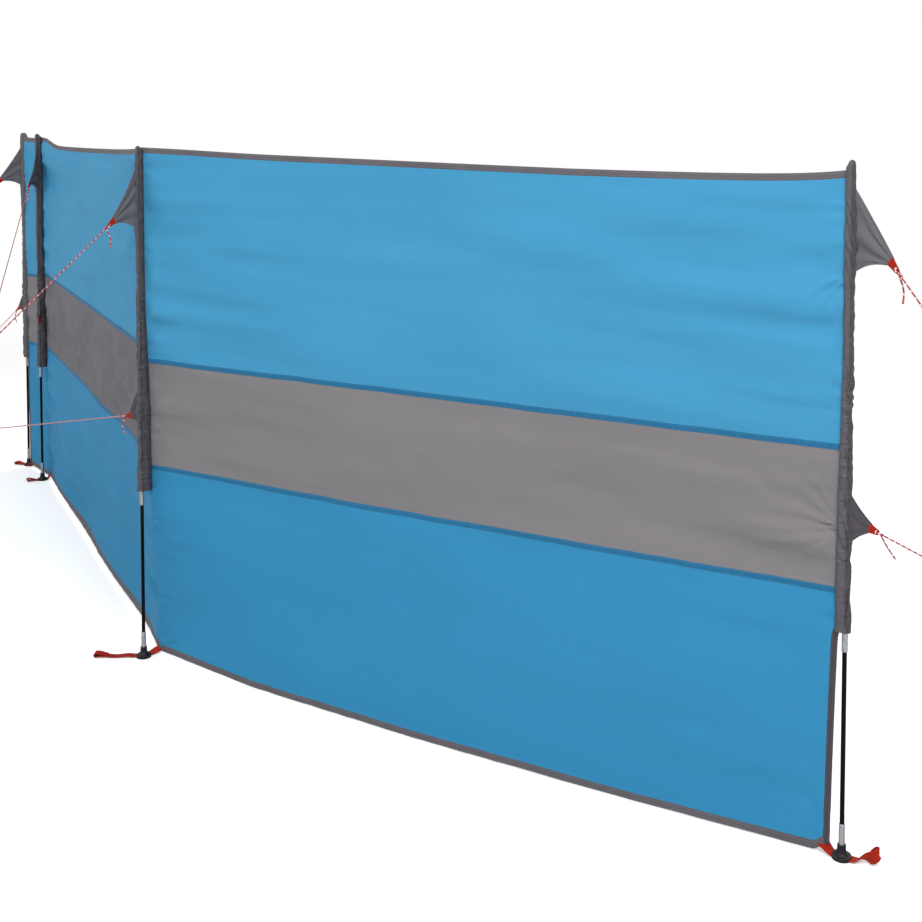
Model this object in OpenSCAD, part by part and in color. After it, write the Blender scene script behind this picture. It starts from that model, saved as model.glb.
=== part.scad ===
// Beach windbreak: three cloth bays sewn to four sleeved poles and guyed out to ground pegs.
// The origin is the centre of the underside of the corner pole's foot. X runs along the main bay,
// Y points behind the cloth and Z is up. The poles are counted right, corner, far, end.

/* [Layout] */
// Length of each of the two long bays
bay_long = 2000; // [1200:10:2600]
// Length of the short end bay
bay_end = 270; // [200:5:600]
// Turn of the cloth at the corner pole, in degrees
turn_corner = 33; // [10:1:60]
// Turn of the cloth back again at the far pole, in degrees
turn_far = 10; // [0:1:20]

/* [Cloth] */
// Height of the cloth's lower edge
cloth_low = 12; // [8:1:40]
// Height of the cloth's upper edge at the poles
cloth_high = 1470; // [1450:1:1600]
// How far the upper edge of a long bay sags at its middle
top_sag = 14; // [0:1:40]
// Height of the upper hem
top_hem = 20; // [15:1:40]
// Height of the lower hem
bottom_hem = 14; // [8:1:30]
// Height of the lower side of the cross band
band_low = 570; // [520:5:620]
// Height of the cross band itself
band_h = 292; // [150:1:400]
// Height of the doubled seams along the band
seam_h = 15; // [8:1:25]
// Thickness of the cloth
cloth_t = 2.4; // [1.5:0.1:4]
// Thickness where the cloth is doubled, at hems and seams
double_t = 3.6; // [2.5:0.1:6]
// Width of the binding on the free end edges
binding_w = 13; // [8:1:25]

/* [Sleeves] */
// Width of a pole sleeve
sleeve_w = 34; // [26:1:50]
// Depth of a pole sleeve, front to back
sleeve_d = 14; // [13.5:0.5:24]
// Thickness of the sleeve's wall
sleeve_wall = 1.5; // [0.8:0.1:1.6]
// Height of the sleeve's lower end
sleeve_low = 490; // [420:5:515]
// How far the sleeve's closed top stands above the cloth
sleeve_rise = 15; // [5:1:40]
// Gap between a middle pole's foot and the seam of its two bays
seam_clear = 2; // [1:0.5:20]
// Length of the doubled cloth on each side of that seam
seam_half = 6; // [4:1:12]
// Gap between an end pole's foot and the end of its bay's cloth
edge_clear = 5; // [2:0.5:30]

/* [Poles] */
// Diameter of a pole rod
rod_d = 10; // [6:0.5:10.5]
// Outer diameter of a ferrule
ferrule_d = 13; // [12:0.5:16]
// Length of the upper ferrule
upper_ferrule = 42; // [25:1:80]
// Height of the lower ferrule's upper end
ferrule_top = 75; // [55:1:120]
// Radial play of the rod in its ferrules
slip = 0.15; // [0.05:0.05:0.3]

/* [Feet] */
// Diameter of a foot's base
foot_d = 42; // [36:1:70]
// Thickness of the base
foot_base = 8; // [7:0.5:14]
// Height of a foot
foot_h = 30; // [24:1:50]
// Wall of the foot's socket
socket_wall = 2.4; // [1.5:0.1:4]

/* [Straps] */
// Width of the strap under each foot
strap_w = 25; // [15:1:28]
// Thickness of the strap
strap_t = 1.8; // [1.2:0.1:2.5]
// Height of the strap above the ground
strap_z = 3; // [2:0.5:3.5]
// Distance from each pole to its strap's peg loop
strap_out = [72, 138, 60, 60]; // [45:1:160]
// Heading of each strap seen from above, in degrees
strap_heading = [0, 212, 240, 200]; // [0:1:360]
// Outer radius of the peg loop
loop_r = 12; // [8:0.5:20]

/* [Flaps] */
// Thickness of a guy flap
flap_t = 2; // [1.2:0.1:3]
// Distance from the sleeve's top down to the upper flap
upper_flap_drop = 58; // [20:1:100]
// Height of the upper flap along its sleeve
upper_flap_h = 175; // [100:1:220]
// Distance from the pole to the tip of the upper flap
upper_flap_out = 92; // [60:1:160]
// Height of the lower end of the lower flap
lower_flap_low = 680; // [600:1:760]
// Height of the lower flap along its sleeve
lower_flap_h = 105; // [60:1:160]
// Distance from the pole to the tip of the lower flap
lower_flap_out = 60; // [50:1:120]
// How far the middle of a flap's tip lies above its lower end
tip_rise = 16; // [12:1:40]
// Width of the webbing tab on a flap's tip
tab_w = 20; // [14:1:24]
// Thickness of the tab
tab_t = 3; // [1.5:0.1:4]
// Length of the tab up to its eye
tab_len = 14; // [10:1:30]
// Diameter of the tab's eye
eye_d = 7; // [5.5:0.5:9]

/* [Guys] */
// Diameter of the guy cord
cord_d = 3.5; // [2:0.5:4]
// Heading of each upper guy seen from above, in degrees
upper_heading = [340, 268, 300, 230]; // [0:1:360]
// Heading of each lower flap and guy seen from above, in degrees
lower_heading = [50, 165, 315, 168]; // [0:1:360]
// Distance from each pole to the peg of its upper guy
upper_out = [1200, 1950, 1200, 1200]; // [800:10:2000]
// Distance from each pole to the peg of its lower guy
lower_out = [1300, 3150, 1200, 1200]; // [800:10:3600]
// Diameter of the knot at a tab
knot_d = 9; // [7:0.5:14]
// Distance from the slider back from the peg
slider_back = 350; // [150:5:500]
// Length of the slider
slider_len = 36; // [24:1:60]
// Thickness of the slider
slider_t = 7; // [6.5:0.5:10]
// Diameter of a peg
peg_d = 6; // [4:0.5:9]
// Diameter of a peg's head
peg_head_d = 13; // [11:0.5:20]
// Length of a peg above its cord
peg_up = 20; // [12:1:40]
// Height at which the cord holds the peg
peg_grip = 12; // [10:1:25]

/* [Hidden] */
POLES = ["right", "corner", "far", "end"];
BAYS = ["main", "side", "end"];
POLE_PARTS = ["rod", "ferrules", "foot", "sleeve", "strap", "flaps", "guys"];
BAY_PARTS = ["upper_panel", "band", "lower_panel", "upper_hem", "lower_hem"];
$fn = 48;

// Clearance between a piece and its seat
seat = 0.3;
// Poles with a guy on their lower flap, and the poles at the two ends of the cloth
LOWER_GUYED = [0, 1, 3];
RIGHT = 0;
CORNER = 1;
FAR = 2;
END = 3;

// Distance from a middle pole back to its seam, and from an end pole to the end of its cloth
seam_back = foot_d / 2 + seam_clear + double_t;
edge_gap = foot_d / 2 + edge_clear;
band_high = band_low + band_h;
sleeve_high = cloth_high + sleeve_rise;
cap_t = 3;
sag_steps = 16;
strap_top = strap_z + strap_t;
socket_d = ferrule_d + 2 * seat;
socket_floor = foot_base + 1;
cord_r = cord_d / 2;
// How much the cord is squeezed where it turns round the peg, and how far its runs lap the turn
squeeze = 0.1;
turn_lap = 0.3;
// Sideways step from a cord to the middle of the peg that it goes round
peg_side = peg_d / 2 + cord_r + seat;
cut_size = 400;

// Headings of the bays and of the poles between them, clockwise from the main bay
bay_heads = [0, turn_corner, turn_corner - turn_far];
pole_heads = [0, turn_corner / 2, turn_corner - turn_far / 2, turn_corner - turn_far];
bay_lengths = [bay_long, bay_long, bay_end];

// Along the cloth towards the right pole, and out of the front of the cloth
function along(head) = [cos(head), -sin(head)];
function front(head) = [-sin(head), -cos(head)];

// Plan of the two seams, the poles and the left end of each bay
corner_seam_at = -seam_back * front(pole_heads[CORNER]);
far_seam_at = corner_seam_at - bay_long * along(bay_heads[1]);
pole_at = [
    corner_seam_at + bay_long * along(0),
    [0, 0],
    far_seam_at + seam_back * front(pole_heads[FAR]),
    far_seam_at - bay_end * along(bay_heads[2])
];
bay_at = [corner_seam_at, far_seam_at, pole_at[END]];

// Ends of a bay's cloth, from its left end, above and below the ends of the sleeves
function left_in(b) = b == 2 ? edge_gap : seam_half;
function right_in(b) = bay_lengths[b] - (b == 0 ? edge_gap : seam_half);
function left_low(b) = left_in(b) + (b == 2 ? binding_w : 0);
function right_low(b) = right_in(b) - (b == 0 ? binding_w : 0);

// Height of a bay's sagging upper edge at a distance from its left end
function sag(b) = top_sag * pow(bay_lengths[b] / bay_long, 2);
function upper_edge(b, x) = cloth_high - 4 * sag(b) * x / bay_lengths[b] * (1 - x / bay_lengths[b]);
function step_x(b, i) = left_in(b) + (right_in(b) - left_in(b)) * i / sag_steps;
function edge_line(b, drop) = [for (i = [0:sag_steps]) [step_x(b, i), upper_edge(b, step_x(b, i)) - drop]];
function reversed(list) = [for (i = [len(list) - 1:-1:0]) list[i]];

// Tip, eye and run of a guy: level 0 is the upper one, level 1 the lower one
function heading(p, level) = level == 0 ? upper_heading[p] : lower_heading[p];
function flap_low(level) = level == 0 ? sleeve_high - upper_flap_drop - upper_flap_h : lower_flap_low;
function flap_h(level) = level == 0 ? upper_flap_h : lower_flap_h;
function flap_out(level) = level == 0 ? upper_flap_out : lower_flap_out;
function tip_z(level) = flap_low(level) + tip_rise;
function eye_out(level) = flap_out(level) + tab_len;
function guy_out(p, level) = level == 0 ? upper_out[p] : lower_out[p];
function guy_run(p, level) = guy_out(p, level) - eye_out(level);
function guy_drop(level) = tip_z(level) - peg_grip;
function guy_slope(p, level) = atan2(guy_drop(level), guy_run(p, level));
function guy_len(p, level) = norm([guy_run(p, level), guy_drop(level)]);
function guyed(p, level) = level == 0 || len(search(p, LOWER_GUYED)) > 0;

// Which way a pole's strap reaches back to the cloth, and how far
function strap_back_heading(p) =
    p == RIGHT ? 180 : p == END ? -pole_heads[END] : 90 - pole_heads[p];
function strap_back(p) = p == RIGHT || p == END ? edge_gap + binding_w : seam_back + seam_half;

// Puts its children in the frame of a bay: X along the cloth from its left end
module in_bay(b) {
    translate([bay_at[b].x, bay_at[b].y, 0]) rotate(-bay_heads[b]) children();
}

// Puts its children in the frame of a pole: X along the cloth, -Y out of its front
module at_pole(p) {
    translate([pole_at[p].x, pole_at[p].y, 0]) rotate(-pole_heads[p]) children();
}

// Puts its children at a pole with X along a heading seen from above
module towards(p, head) {
    translate([pole_at[p].x, pole_at[p].y, 0]) rotate(head) children();
}

// Puts its children at the eye of a tab, with X down along the taut guy
module on_guy(p, level) {
    towards(p, heading(p, level))
        translate([eye_out(level), 0, tip_z(level)])
            rotate([0, guy_slope(p, level), 0])
                children();
}

// Upright sheet from an outline drawn in X and Z
module sheet(thickness) {
    rotate([90, 0, 0]) linear_extrude(thickness, center = true) children();
}

// Upright strip of cloth between two distances and two heights
module strip(x0, x1, z0, z1, thickness) {
    sheet(thickness) translate([x0, z0]) square([x1 - x0, z1 - z0]);
}

// Flat round-ended outline of a sleeve, grown or shrunk by a margin
module sleeve_outline(grow) {
    straight = sleeve_w - sleeve_d;
    for (side = [-1, 1])
        translate([side * straight / 2, 0]) circle(sleeve_d / 2 + grow);
    square([straight, sleeve_d + 2 * grow], center = true);
}

module upper_panel(b) {
    color("#4c9fd0") in_bay(b) {
        sheet(cloth_t)
            polygon(concat(
                [[left_in(b), band_high], [right_in(b), band_high]],
                reversed(edge_line(b, top_hem))
            ));
        strip(left_in(b), right_in(b), band_high, band_high + seam_h, double_t);
    }
}

module band(b) {
    color("#828084") in_bay(b) strip(left_in(b), right_in(b), band_low, band_high, cloth_t);
}

module lower_panel(b) {
    color("#3b8cbf") in_bay(b) {
        strip(left_low(b), right_low(b), cloth_low + bottom_hem, sleeve_low, cloth_t);
        strip(left_in(b), right_in(b), sleeve_low, band_low, cloth_t);
        strip(left_in(b), right_in(b), band_low - seam_h, band_low, double_t);
    }
}

module upper_hem(b) {
    color("#77747a") in_bay(b)
        sheet(double_t) polygon(concat(edge_line(b, top_hem), reversed(edge_line(b, 0))));
}

module lower_hem(b) {
    color("#77747a") in_bay(b)
        strip(left_low(b), right_low(b), cloth_low, cloth_low + bottom_hem, double_t);
}

// Doubled cloth where two bays meet behind a middle pole, standing on the strap
module seam(p) {
    nose = double_t;
    color("#3f86b4") at_pole(p) translate([0, 0, strap_top])
        linear_extrude(cloth_high - strap_top) translate([0, seam_back]) {
            rotate(pole_heads[p] - bay_heads[p - 1])
                translate([0, -double_t / 2]) square([seam_half, double_t]);
            rotate(180 + pole_heads[p] - bay_heads[p])
                translate([0, -double_t / 2]) square([seam_half, double_t]);
            translate([-double_t / 2, -nose]) square([double_t, 2 * nose]);
        }
}

// Binding of a free end edge below its sleeve, standing on the strap
module edge_binding(b) {
    outer = b == 0 ? right_in(b) : left_in(b);
    inner = b == 0 ? right_low(b) : left_low(b);
    color("#6f6c72") in_bay(b)
        strip(min(outer, inner), max(outer, inner), strap_top, sleeve_low, double_t);
}

// Flat tube closed at the top, with the sewn web that joins it to the cloth
module sleeve(p) {
    wall_middle = sleeve_wall / 2;
    color("#58585e") at_pole(p) {
        translate([0, 0, sleeve_low]) linear_extrude(sleeve_high - sleeve_low - cap_t)
            difference() {
                union() {
                    sleeve_outline(0);
                    sleeve_web(p, wall_middle);
                }
                sleeve_outline(-sleeve_wall);
            }
        translate([0, 0, sleeve_high - cap_t]) linear_extrude(cap_t) sleeve_outline(0);
    }
}

// Web of a sleeve: back to the seam of a middle pole, sideways to the cloth of an end pole
module sleeve_web(p, sunk) {
    side_start = sleeve_w / 2 - sunk;
    if (p == RIGHT || p == END) {
        side = p == RIGHT ? -1 : 1;
        translate([side * (side_start + edge_gap) / 2, 0])
            square([edge_gap - side_start, cloth_t], center = true);
    } else {
        back_start = sleeve_d / 2 - sunk;
        translate([-double_t / 2, back_start])
            square([double_t, seam_back - double_t - back_start]);
    }
}

module rod(p) {
    low = socket_floor + seat;
    color("#161618") at_pole(p)
        translate([0, 0, low]) cylinder(d = rod_d, h = sleeve_high - cap_t - seat - low);
}

// Metal tube on the rod with chamfered ends and a rolled groove near each
module ferrule(length) {
    chamfer = 0.6;
    groove = 0.4;
    groove_at = 6;
    groove_w = 1.5;
    r_in = rod_d / 2 + slip;
    r_out = ferrule_d / 2;
    rotate_extrude() polygon([
        [r_in, 0],
        [r_out - chamfer, 0],
        [r_out, chamfer],
        [r_out, groove_at],
        [r_out - groove, groove_at + groove_w / 2],
        [r_out, groove_at + groove_w],
        [r_out, length - groove_at - groove_w],
        [r_out - groove, length - groove_at - groove_w / 2],
        [r_out, length - groove_at],
        [r_out, length - chamfer],
        [r_out - chamfer, length],
        [r_in, length]
    ]);
}

module ferrules(p) {
    low = socket_floor + seat;
    color("#b4b4b6") at_pole(p) {
        translate([0, 0, low]) ferrule(ferrule_top - low);
        translate([0, 0, sleeve_low - seat - upper_ferrule]) ferrule(upper_ferrule);
    }
}

// Plan of a strap: a leg back to the cloth and a leg out to the peg loop, turned under the foot
module strap_plan(p, out, grow) {
    width = strap_w + 2 * grow;
    fold = 2;
    back = max(strap_back(p), foot_d / 2 + 1);
    circle(d = width + fold);
    rotate(strap_back_heading(p)) translate([0, -width / 2]) square([back, width]);
    rotate(strap_heading[p]) translate([0, -width / 2]) square([out, width]);
}

// Moulded foot: a base that the strap threads through, a hollow flare and a socket for the pole
module foot(p) {
    flare_steps = 6;
    r_base = foot_d / 2;
    r_stem = socket_d / 2 + socket_wall;
    flare_h = (foot_h - foot_base) * 0.6;
    flare = [for (i = [0:flare_steps])
        let (a = 90 * i / flare_steps)
        [r_stem + (r_base - r_stem - 1) * (1 - sin(a)), foot_base + flare_h * (1 - cos(a))]
    ];
    color("#1b1b1d") towards(p, 0) difference() {
        rotate_extrude() polygon(concat(
            [[0, 0], [r_base, 0], [r_base, foot_base - 1], [r_base - 1, foot_base]],
            [for (i = [1:flare_steps]) flare[i]],
            [[r_stem, foot_h], [socket_d / 2, foot_h], [socket_d / 2, socket_floor], [0, socket_floor]]
        ));
        translate([0, 0, strap_z - seat])
            linear_extrude(strap_t + 2 * seat) strap_plan(p, foot_d / 2 + 1, seat);
    }
}

// Webbing strap threaded through the foot, ending in a standing peg loop
module strap(p) {
    sunk = 0.5;
    color("#c8321e") towards(p, 0) {
        translate([0, 0, strap_z]) linear_extrude(strap_t) strap_plan(p, strap_out[p], 0);
        rotate(strap_heading[p]) translate([strap_out[p], 0, strap_z - sunk + loop_r])
            rotate([90, 0, 0]) difference() {
                cylinder(r = loop_r, h = strap_w, center = true);
                cylinder(r = loop_r - strap_t, h = strap_w + 2, center = true);
            }
    }
}

// Three-cornered flap that spreads the pull of a guy along its sleeve
module flap(p, level) {
    low = flap_low(level);
    difference() {
        towards(p, heading(p, level)) sheet(flap_t) polygon([
            [0, low],
            [flap_out(level), tip_z(level) - tab_w / 2],
            [flap_out(level), tip_z(level) + tab_w / 2],
            [0, low + flap_h(level)]
        ]);
        at_pole(p) translate([0, 0, low - 1]) linear_extrude(flap_h(level) + 2) sleeve_outline(seat);
    }
}

module flaps(p) {
    color("#5e5e64") for (level = [0, 1]) flap(p, level);
}

// Round-ended webbing tab with an eye, sewn to the tip of a flap
module tab(p, level) {
    towards(p, heading(p, level)) translate([flap_out(level), 0, tip_z(level)]) sheet(tab_t)
        difference() {
            union() {
                translate([0, -tab_w / 2]) square([tab_len, tab_w]);
                translate([tab_len, 0]) circle(d = tab_w);
            }
            translate([tab_len, 0]) circle(d = eye_d);
        }
}

module flap_tabs() {
    color("#d0371f") for (p = [0:3]) for (level = [0, 1]) tab(p, level);
}

// Taut cord: a ring through the tab's eye, a knot on it, and a loop round the peg
module guy(p, level) {
    run = guy_len(p, level);
    ring_in = eye_d / 2 - cord_r - seat;
    ring_out = tab_w / 2 + cord_r + seat;
    ring_r = (ring_out - ring_in) / 2;
    knot_at = ring_out + cord_r + seat + knot_d / 2;
    stop_at = run - slider_back - slider_len / 2 - knot_d / 2 - seat;
    on_guy(p, level) {
        translate([ring_in + ring_r, 0, 0]) rotate(180)
            rotate_extrude() translate([ring_r, 0]) circle(cord_r);
        translate([knot_at, 0, 0]) {
            sphere(d = knot_d);
            rotate([0, 90, 0]) cylinder(r = cord_r, h = run + turn_lap - knot_at);
        }
        translate([run, -peg_side, 0]) rotate(-90)
            rotate_extrude(angle = 180) translate([peg_side, 0]) circle(cord_r - squeeze);
        translate([stop_at, -2 * peg_side, 0]) {
            sphere(d = knot_d);
            rotate([0, 90, 0]) cylinder(r = cord_r, h = run + turn_lap - stop_at);
        }
    }
}

module guys(p) {
    color("#b5352a") for (level = [0, 1]) if (guyed(p, level)) guy(p, level);
}

// Moulded slider that both runs of a guy pass through, to take up its slack
module slider(p, level) {
    bore_d = cord_d + 2 * seat;
    end_r = bore_d;
    across = 2 * peg_side;
    on_guy(p, level) translate([guy_len(p, level) - slider_back, -peg_side, 0]) difference() {
        translate([0, 0, -slider_t / 2]) linear_extrude(slider_t) {
            square([slider_len, across], center = true);
            square([slider_len - 2 * end_r, across + 2 * end_r], center = true);
            for (x = [-1, 1]) for (y = [-1, 1])
                translate([x * (slider_len / 2 - end_r), y * across / 2]) circle(end_r);
        }
        for (y = [-1, 1]) translate([0, y * across / 2, 0]) rotate([0, 90, 0])
            cylinder(d = bore_d, h = slider_len + 2, center = true);
    }
}

module guy_sliders() {
    color("#2a2a2c") for (p = [0:3]) for (level = [0, 1]) if (guyed(p, level)) slider(p, level);
}

// Part of a peg above the ground, square to its guy, with a domed collar for a head
module peg(p, level) {
    down = 3 * peg_grip;
    dome = 2;
    collar = 4;
    difference() {
        on_guy(p, level) translate([guy_len(p, level), -peg_side, 0]) rotate_extrude() polygon([
            [0, -down],
            [peg_d / 2, -down],
            [peg_d / 2, peg_up - collar],
            [peg_head_d / 2, peg_up - collar + 1],
            [peg_head_d / 2, peg_up],
            [peg_head_d / 2 - dome, peg_up + dome],
            [0, peg_up + dome]
        ]);
        towards(p, heading(p, level))
            translate([guy_out(p, level), 0, -cut_size / 2]) cube(cut_size, center = true);
    }
}

module ground_pegs() {
    color("#9a9ca0") for (p = [0:3]) for (level = [0, 1]) if (guyed(p, level)) peg(p, level);
}

// The cloth, bay by bay
for (b = [0:2]) {
    bay = str(BAYS[b], "_bay_");
    upper_panel(b);
    band(b);
    lower_panel(b);
    upper_hem(b);
    lower_hem(b);
}

// What each pole carries
for (p = [0:3]) {
    pole = str(POLES[p], "_pole_");
    rod(p);
    ferrules(p);
    foot(p);
    sleeve(p);
    strap(p);
    flaps(p);
    guys(p);
}

seam(CORNER);  // corner_seam
seam(FAR);  // far_seam
edge_binding(0);  // right_edge_binding
edge_binding(2);  // end_edge_binding
flap_tabs();
guy_sliders();
ground_pegs();
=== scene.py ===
"""Looks of a beach windbreak: three cloth bays, four sleeved poles, webbing straps and guys."""

import logging
import math
from collections.abc import Callable, Sequence
from dataclasses import dataclass, field
from enum import Enum

import bpy
import numpy as np
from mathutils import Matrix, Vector


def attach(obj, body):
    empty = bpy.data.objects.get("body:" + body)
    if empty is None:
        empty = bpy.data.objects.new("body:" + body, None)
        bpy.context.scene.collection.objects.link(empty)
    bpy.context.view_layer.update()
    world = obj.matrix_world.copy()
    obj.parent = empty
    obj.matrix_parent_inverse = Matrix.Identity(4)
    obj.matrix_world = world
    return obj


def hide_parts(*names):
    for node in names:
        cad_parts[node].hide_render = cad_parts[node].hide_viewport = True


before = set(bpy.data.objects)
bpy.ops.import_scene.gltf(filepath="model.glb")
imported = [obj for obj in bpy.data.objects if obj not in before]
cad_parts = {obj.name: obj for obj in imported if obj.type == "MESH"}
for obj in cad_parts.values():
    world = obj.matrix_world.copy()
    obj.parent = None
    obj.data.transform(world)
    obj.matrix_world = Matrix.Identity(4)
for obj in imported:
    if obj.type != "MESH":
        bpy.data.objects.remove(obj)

LOG = logging.getLogger("windbreak")
BODY = "root"
CHART = "chart"
MM = 0.001
CLOTH_LOW, CLOTH_HIGH = 0.012, 1.470
SLEEVE_LOW, SLEEVE_HIGH = 0.490, 1.485
PEG_GRIP = 0.012
TAPE_LAP = 1.0 * MM
SHARP_ANGLE = math.radians(48)
UP = np.array([0.0, 0.0, 1.0])
BLACK, WHITE = (0.0, 0.0, 0.0, 1.0), (1.0, 1.0, 1.0, 1.0)

Colour = tuple[float, float, float, float]
Place = tuple[float, float, float]


def srgb(red: int, green: int, blue: int) -> Colour:
    """Turns a display colour into the linear one that a shader takes.

    Args:
        red: Red from 0 to 255.
        green: Green from 0 to 255.
        blue: Blue from 0 to 255.

    Returns:
        The linear colour with full alpha.
    """
    def line(value: int) -> float:
        """Gives one linear channel."""
        part = value / 255
        return part / 12.92 if part <= 0.04045 else ((part + 0.055) / 1.055) ** 2.4

    return line(red), line(green), line(blue), 1.0


def smooth(low: float, high: float, value: np.ndarray) -> np.ndarray:
    """Eases from 0 at low to 1 at high, which may lie below it."""
    share = np.clip((value - low) / (high - low), 0, 1)
    return share * share * (3 - 2 * share)


def ripple(x: np.ndarray, y: np.ndarray, seed: int) -> np.ndarray:
    """Soft seeded noise from -1 to 1 with one bump to a unit.

    Args:
        x: First coordinate.
        y: Second coordinate, of the same form.
        seed: Which noise it is.

    Returns:
        The noise at each place.
    """
    count = 64
    lattice = np.random.default_rng(seed).uniform(-1, 1, (count, count))
    x, y = np.broadcast_arrays(np.asarray(x, float), np.asarray(y, float))
    column, row = np.floor(x).astype(int), np.floor(y).astype(int)
    a, b = x - column, y - row
    a, b = a * a * a * (a * (6 * a - 15) + 10), b * b * b * (b * (6 * b - 15) + 10)

    def at(down: int, right: int) -> np.ndarray:
        """Reads the lattice, which repeats."""
        return lattice[(row + down) % count, (column + right) % count]

    lower = at(0, 0) * (1 - a) + at(0, 1) * a
    upper = at(1, 0) * (1 - a) + at(1, 1) * a
    return lower * (1 - b) + upper * b


def along(heading: float) -> np.ndarray:
    """Direction along the cloth at a heading in degrees, seen from above."""
    turn = math.radians(heading)
    return np.array([math.cos(turn), -math.sin(turn), 0.0])


def front(heading: float) -> np.ndarray:
    """Direction out of the front of the cloth at a heading in degrees."""
    turn = math.radians(heading)
    return np.array([-math.sin(turn), -math.cos(turn), 0.0])


def towards(bearing: float) -> np.ndarray:
    """Level direction at a bearing in degrees, counted from X to Y."""
    turn = math.radians(bearing)
    return np.array([math.cos(turn), math.sin(turn), 0.0])


@dataclass
class Shape:
    """Closed form with a chart, which gives each face's corners a place on the flat material.

    Attributes:
        points: Corner points, three numbers each, in metres.
        faces: Point numbers of each face.
        chart: Two chart numbers for each corner of each face, in the same order.
    """

    points: np.ndarray
    faces: list[list[int]]
    chart: np.ndarray

    @classmethod
    def joined(cls, shapes: Sequence["Shape"]) -> "Shape":
        """Puts several forms into one.

        Args:
            shapes: The forms.

        Returns:
            One form that holds them all.
        """
        faces: list[list[int]] = []
        start = 0
        for shape in shapes:
            faces += [[number + start for number in face] for face in shape.faces]
            start += len(shape.points)
        return cls(
            np.concatenate([shape.points for shape in shapes]),
            faces,
            np.concatenate([shape.chart for shape in shapes]),
        )


def shell(near: np.ndarray, far: np.ndarray, chart: np.ndarray) -> Shape:
    """Closes a sheet between two grids of points.

    Args:
        near: Grid on the front, rows upward and columns to the right.
        far: Grid on the back, of the same form.
        chart: Two chart numbers for each grid point.

    Returns:
        The closed sheet.
    """
    rows, columns = near.shape[:2]
    count = rows * columns
    place = np.arange(count).reshape(rows, columns)
    corners = (place[:-1, :-1], place[:-1, 1:], place[1:, 1:], place[1:, :-1])
    face = np.stack(corners, -1).reshape(-1, 4)
    ring = np.concatenate([place[0, :-1], place[:-1, -1], place[-1, :0:-1], place[:0:-1, 0]])
    after = np.roll(ring, -1)
    rim = np.stack([after, ring, ring + count, after + count], -1)
    faces = np.concatenate([face, face[:, ::-1] + count, rim])
    points = np.concatenate([near.reshape(-1, 3), far.reshape(-1, 3)])
    flat = np.tile(chart.reshape(-1, 2), (2, 1))
    return Shape(points, faces.tolist(), flat[faces.ravel()])


def skin(rings: np.ndarray, lengths: np.ndarray, girth: float = 1.0) -> Shape:
    """Closes a stack of rings with a cap at each end.

    Args:
        rings: Rings of points in order, each ring counted to the left about the way it goes.
        lengths: Distance of each ring along the form, for the chart.
        girth: Chart width of one full turn.

    Returns:
        The closed form.
    """
    stack, sides = rings.shape[:2]
    place = np.arange(stack * sides).reshape(stack, sides)
    beside = np.roll(place, -1, axis=1)
    faces = np.stack([place[:-1], beside[:-1], beside[1:], place[1:]], -1).reshape(-1, 4)
    turn, step = np.arange(sides) / sides * girth, girth / sides
    places = np.stack([lengths[:-1], lengths[:-1], lengths[1:], lengths[1:]], -1)[:, None]
    turns = np.stack([turn, turn + step, turn + step, turn], -1)[None]
    chart = np.stack(np.broadcast_arrays(places, turns), -1)
    points = np.concatenate([rings.reshape(-1, 3), rings[[0, -1]].mean(1)])
    ends = np.full(sides, stack * sides), np.full(sides, stack * sides + 1)
    caps = np.concatenate([
        np.stack([ends[0], beside[0], place[0]], -1),
        np.stack([ends[1], place[-1], beside[-1]], -1),
    ])
    cap_chart = np.zeros((2 * sides, 3, 2))
    cap_chart[:sides, :, 0], cap_chart[sides:, :, 0] = lengths[0], lengths[-1]
    corners = np.concatenate([chart.reshape(-1, 2), cap_chart.reshape(-1, 2)])
    return Shape(points, faces.tolist() + caps.tolist(), corners)


def stations(path: np.ndarray) -> np.ndarray:
    """Distance of each point of a path from its start."""
    return np.concatenate([[0.0], np.cumsum(np.linalg.norm(np.diff(path, axis=0), axis=1))])


def tube(path: np.ndarray, radius: float, sides: int = 10) -> Shape:
    """Round cord along a path, with rounded ends.

    Args:
        path: Points of its middle line.
        radius: Its radius.
        sides: Points to a ring.

    Returns:
        The closed cord.
    """
    way = np.gradient(path, axis=0)
    way /= np.linalg.norm(way, axis=1)[:, None]
    end_reach, end_girth = 0.7 * radius, 0.55
    path = np.concatenate([path[:1] - way[:1] * end_reach, path, path[-1:] + way[-1:] * end_reach])
    way = np.concatenate([way[:1], way, way[-1:]])
    girths = np.full(len(path), radius)
    girths[[0, -1]] *= end_girth
    side = np.cross(way[0], UP)
    if np.linalg.norm(side) < 0.1:
        side = np.cross(way[0], [1.0, 0.0, 0.0])
    turn = np.linspace(0, 2 * math.pi, sides, endpoint=False)
    rings = []
    for middle, forward, girth in zip(path, way, girths):
        side = side - forward * (side @ forward)
        side /= np.linalg.norm(side)
        up = np.cross(forward, side)
        rings.append(middle + girth * (np.cos(turn)[:, None] * side + np.sin(turn)[:, None] * up))
    return skin(np.array(rings), stations(path))


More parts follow.
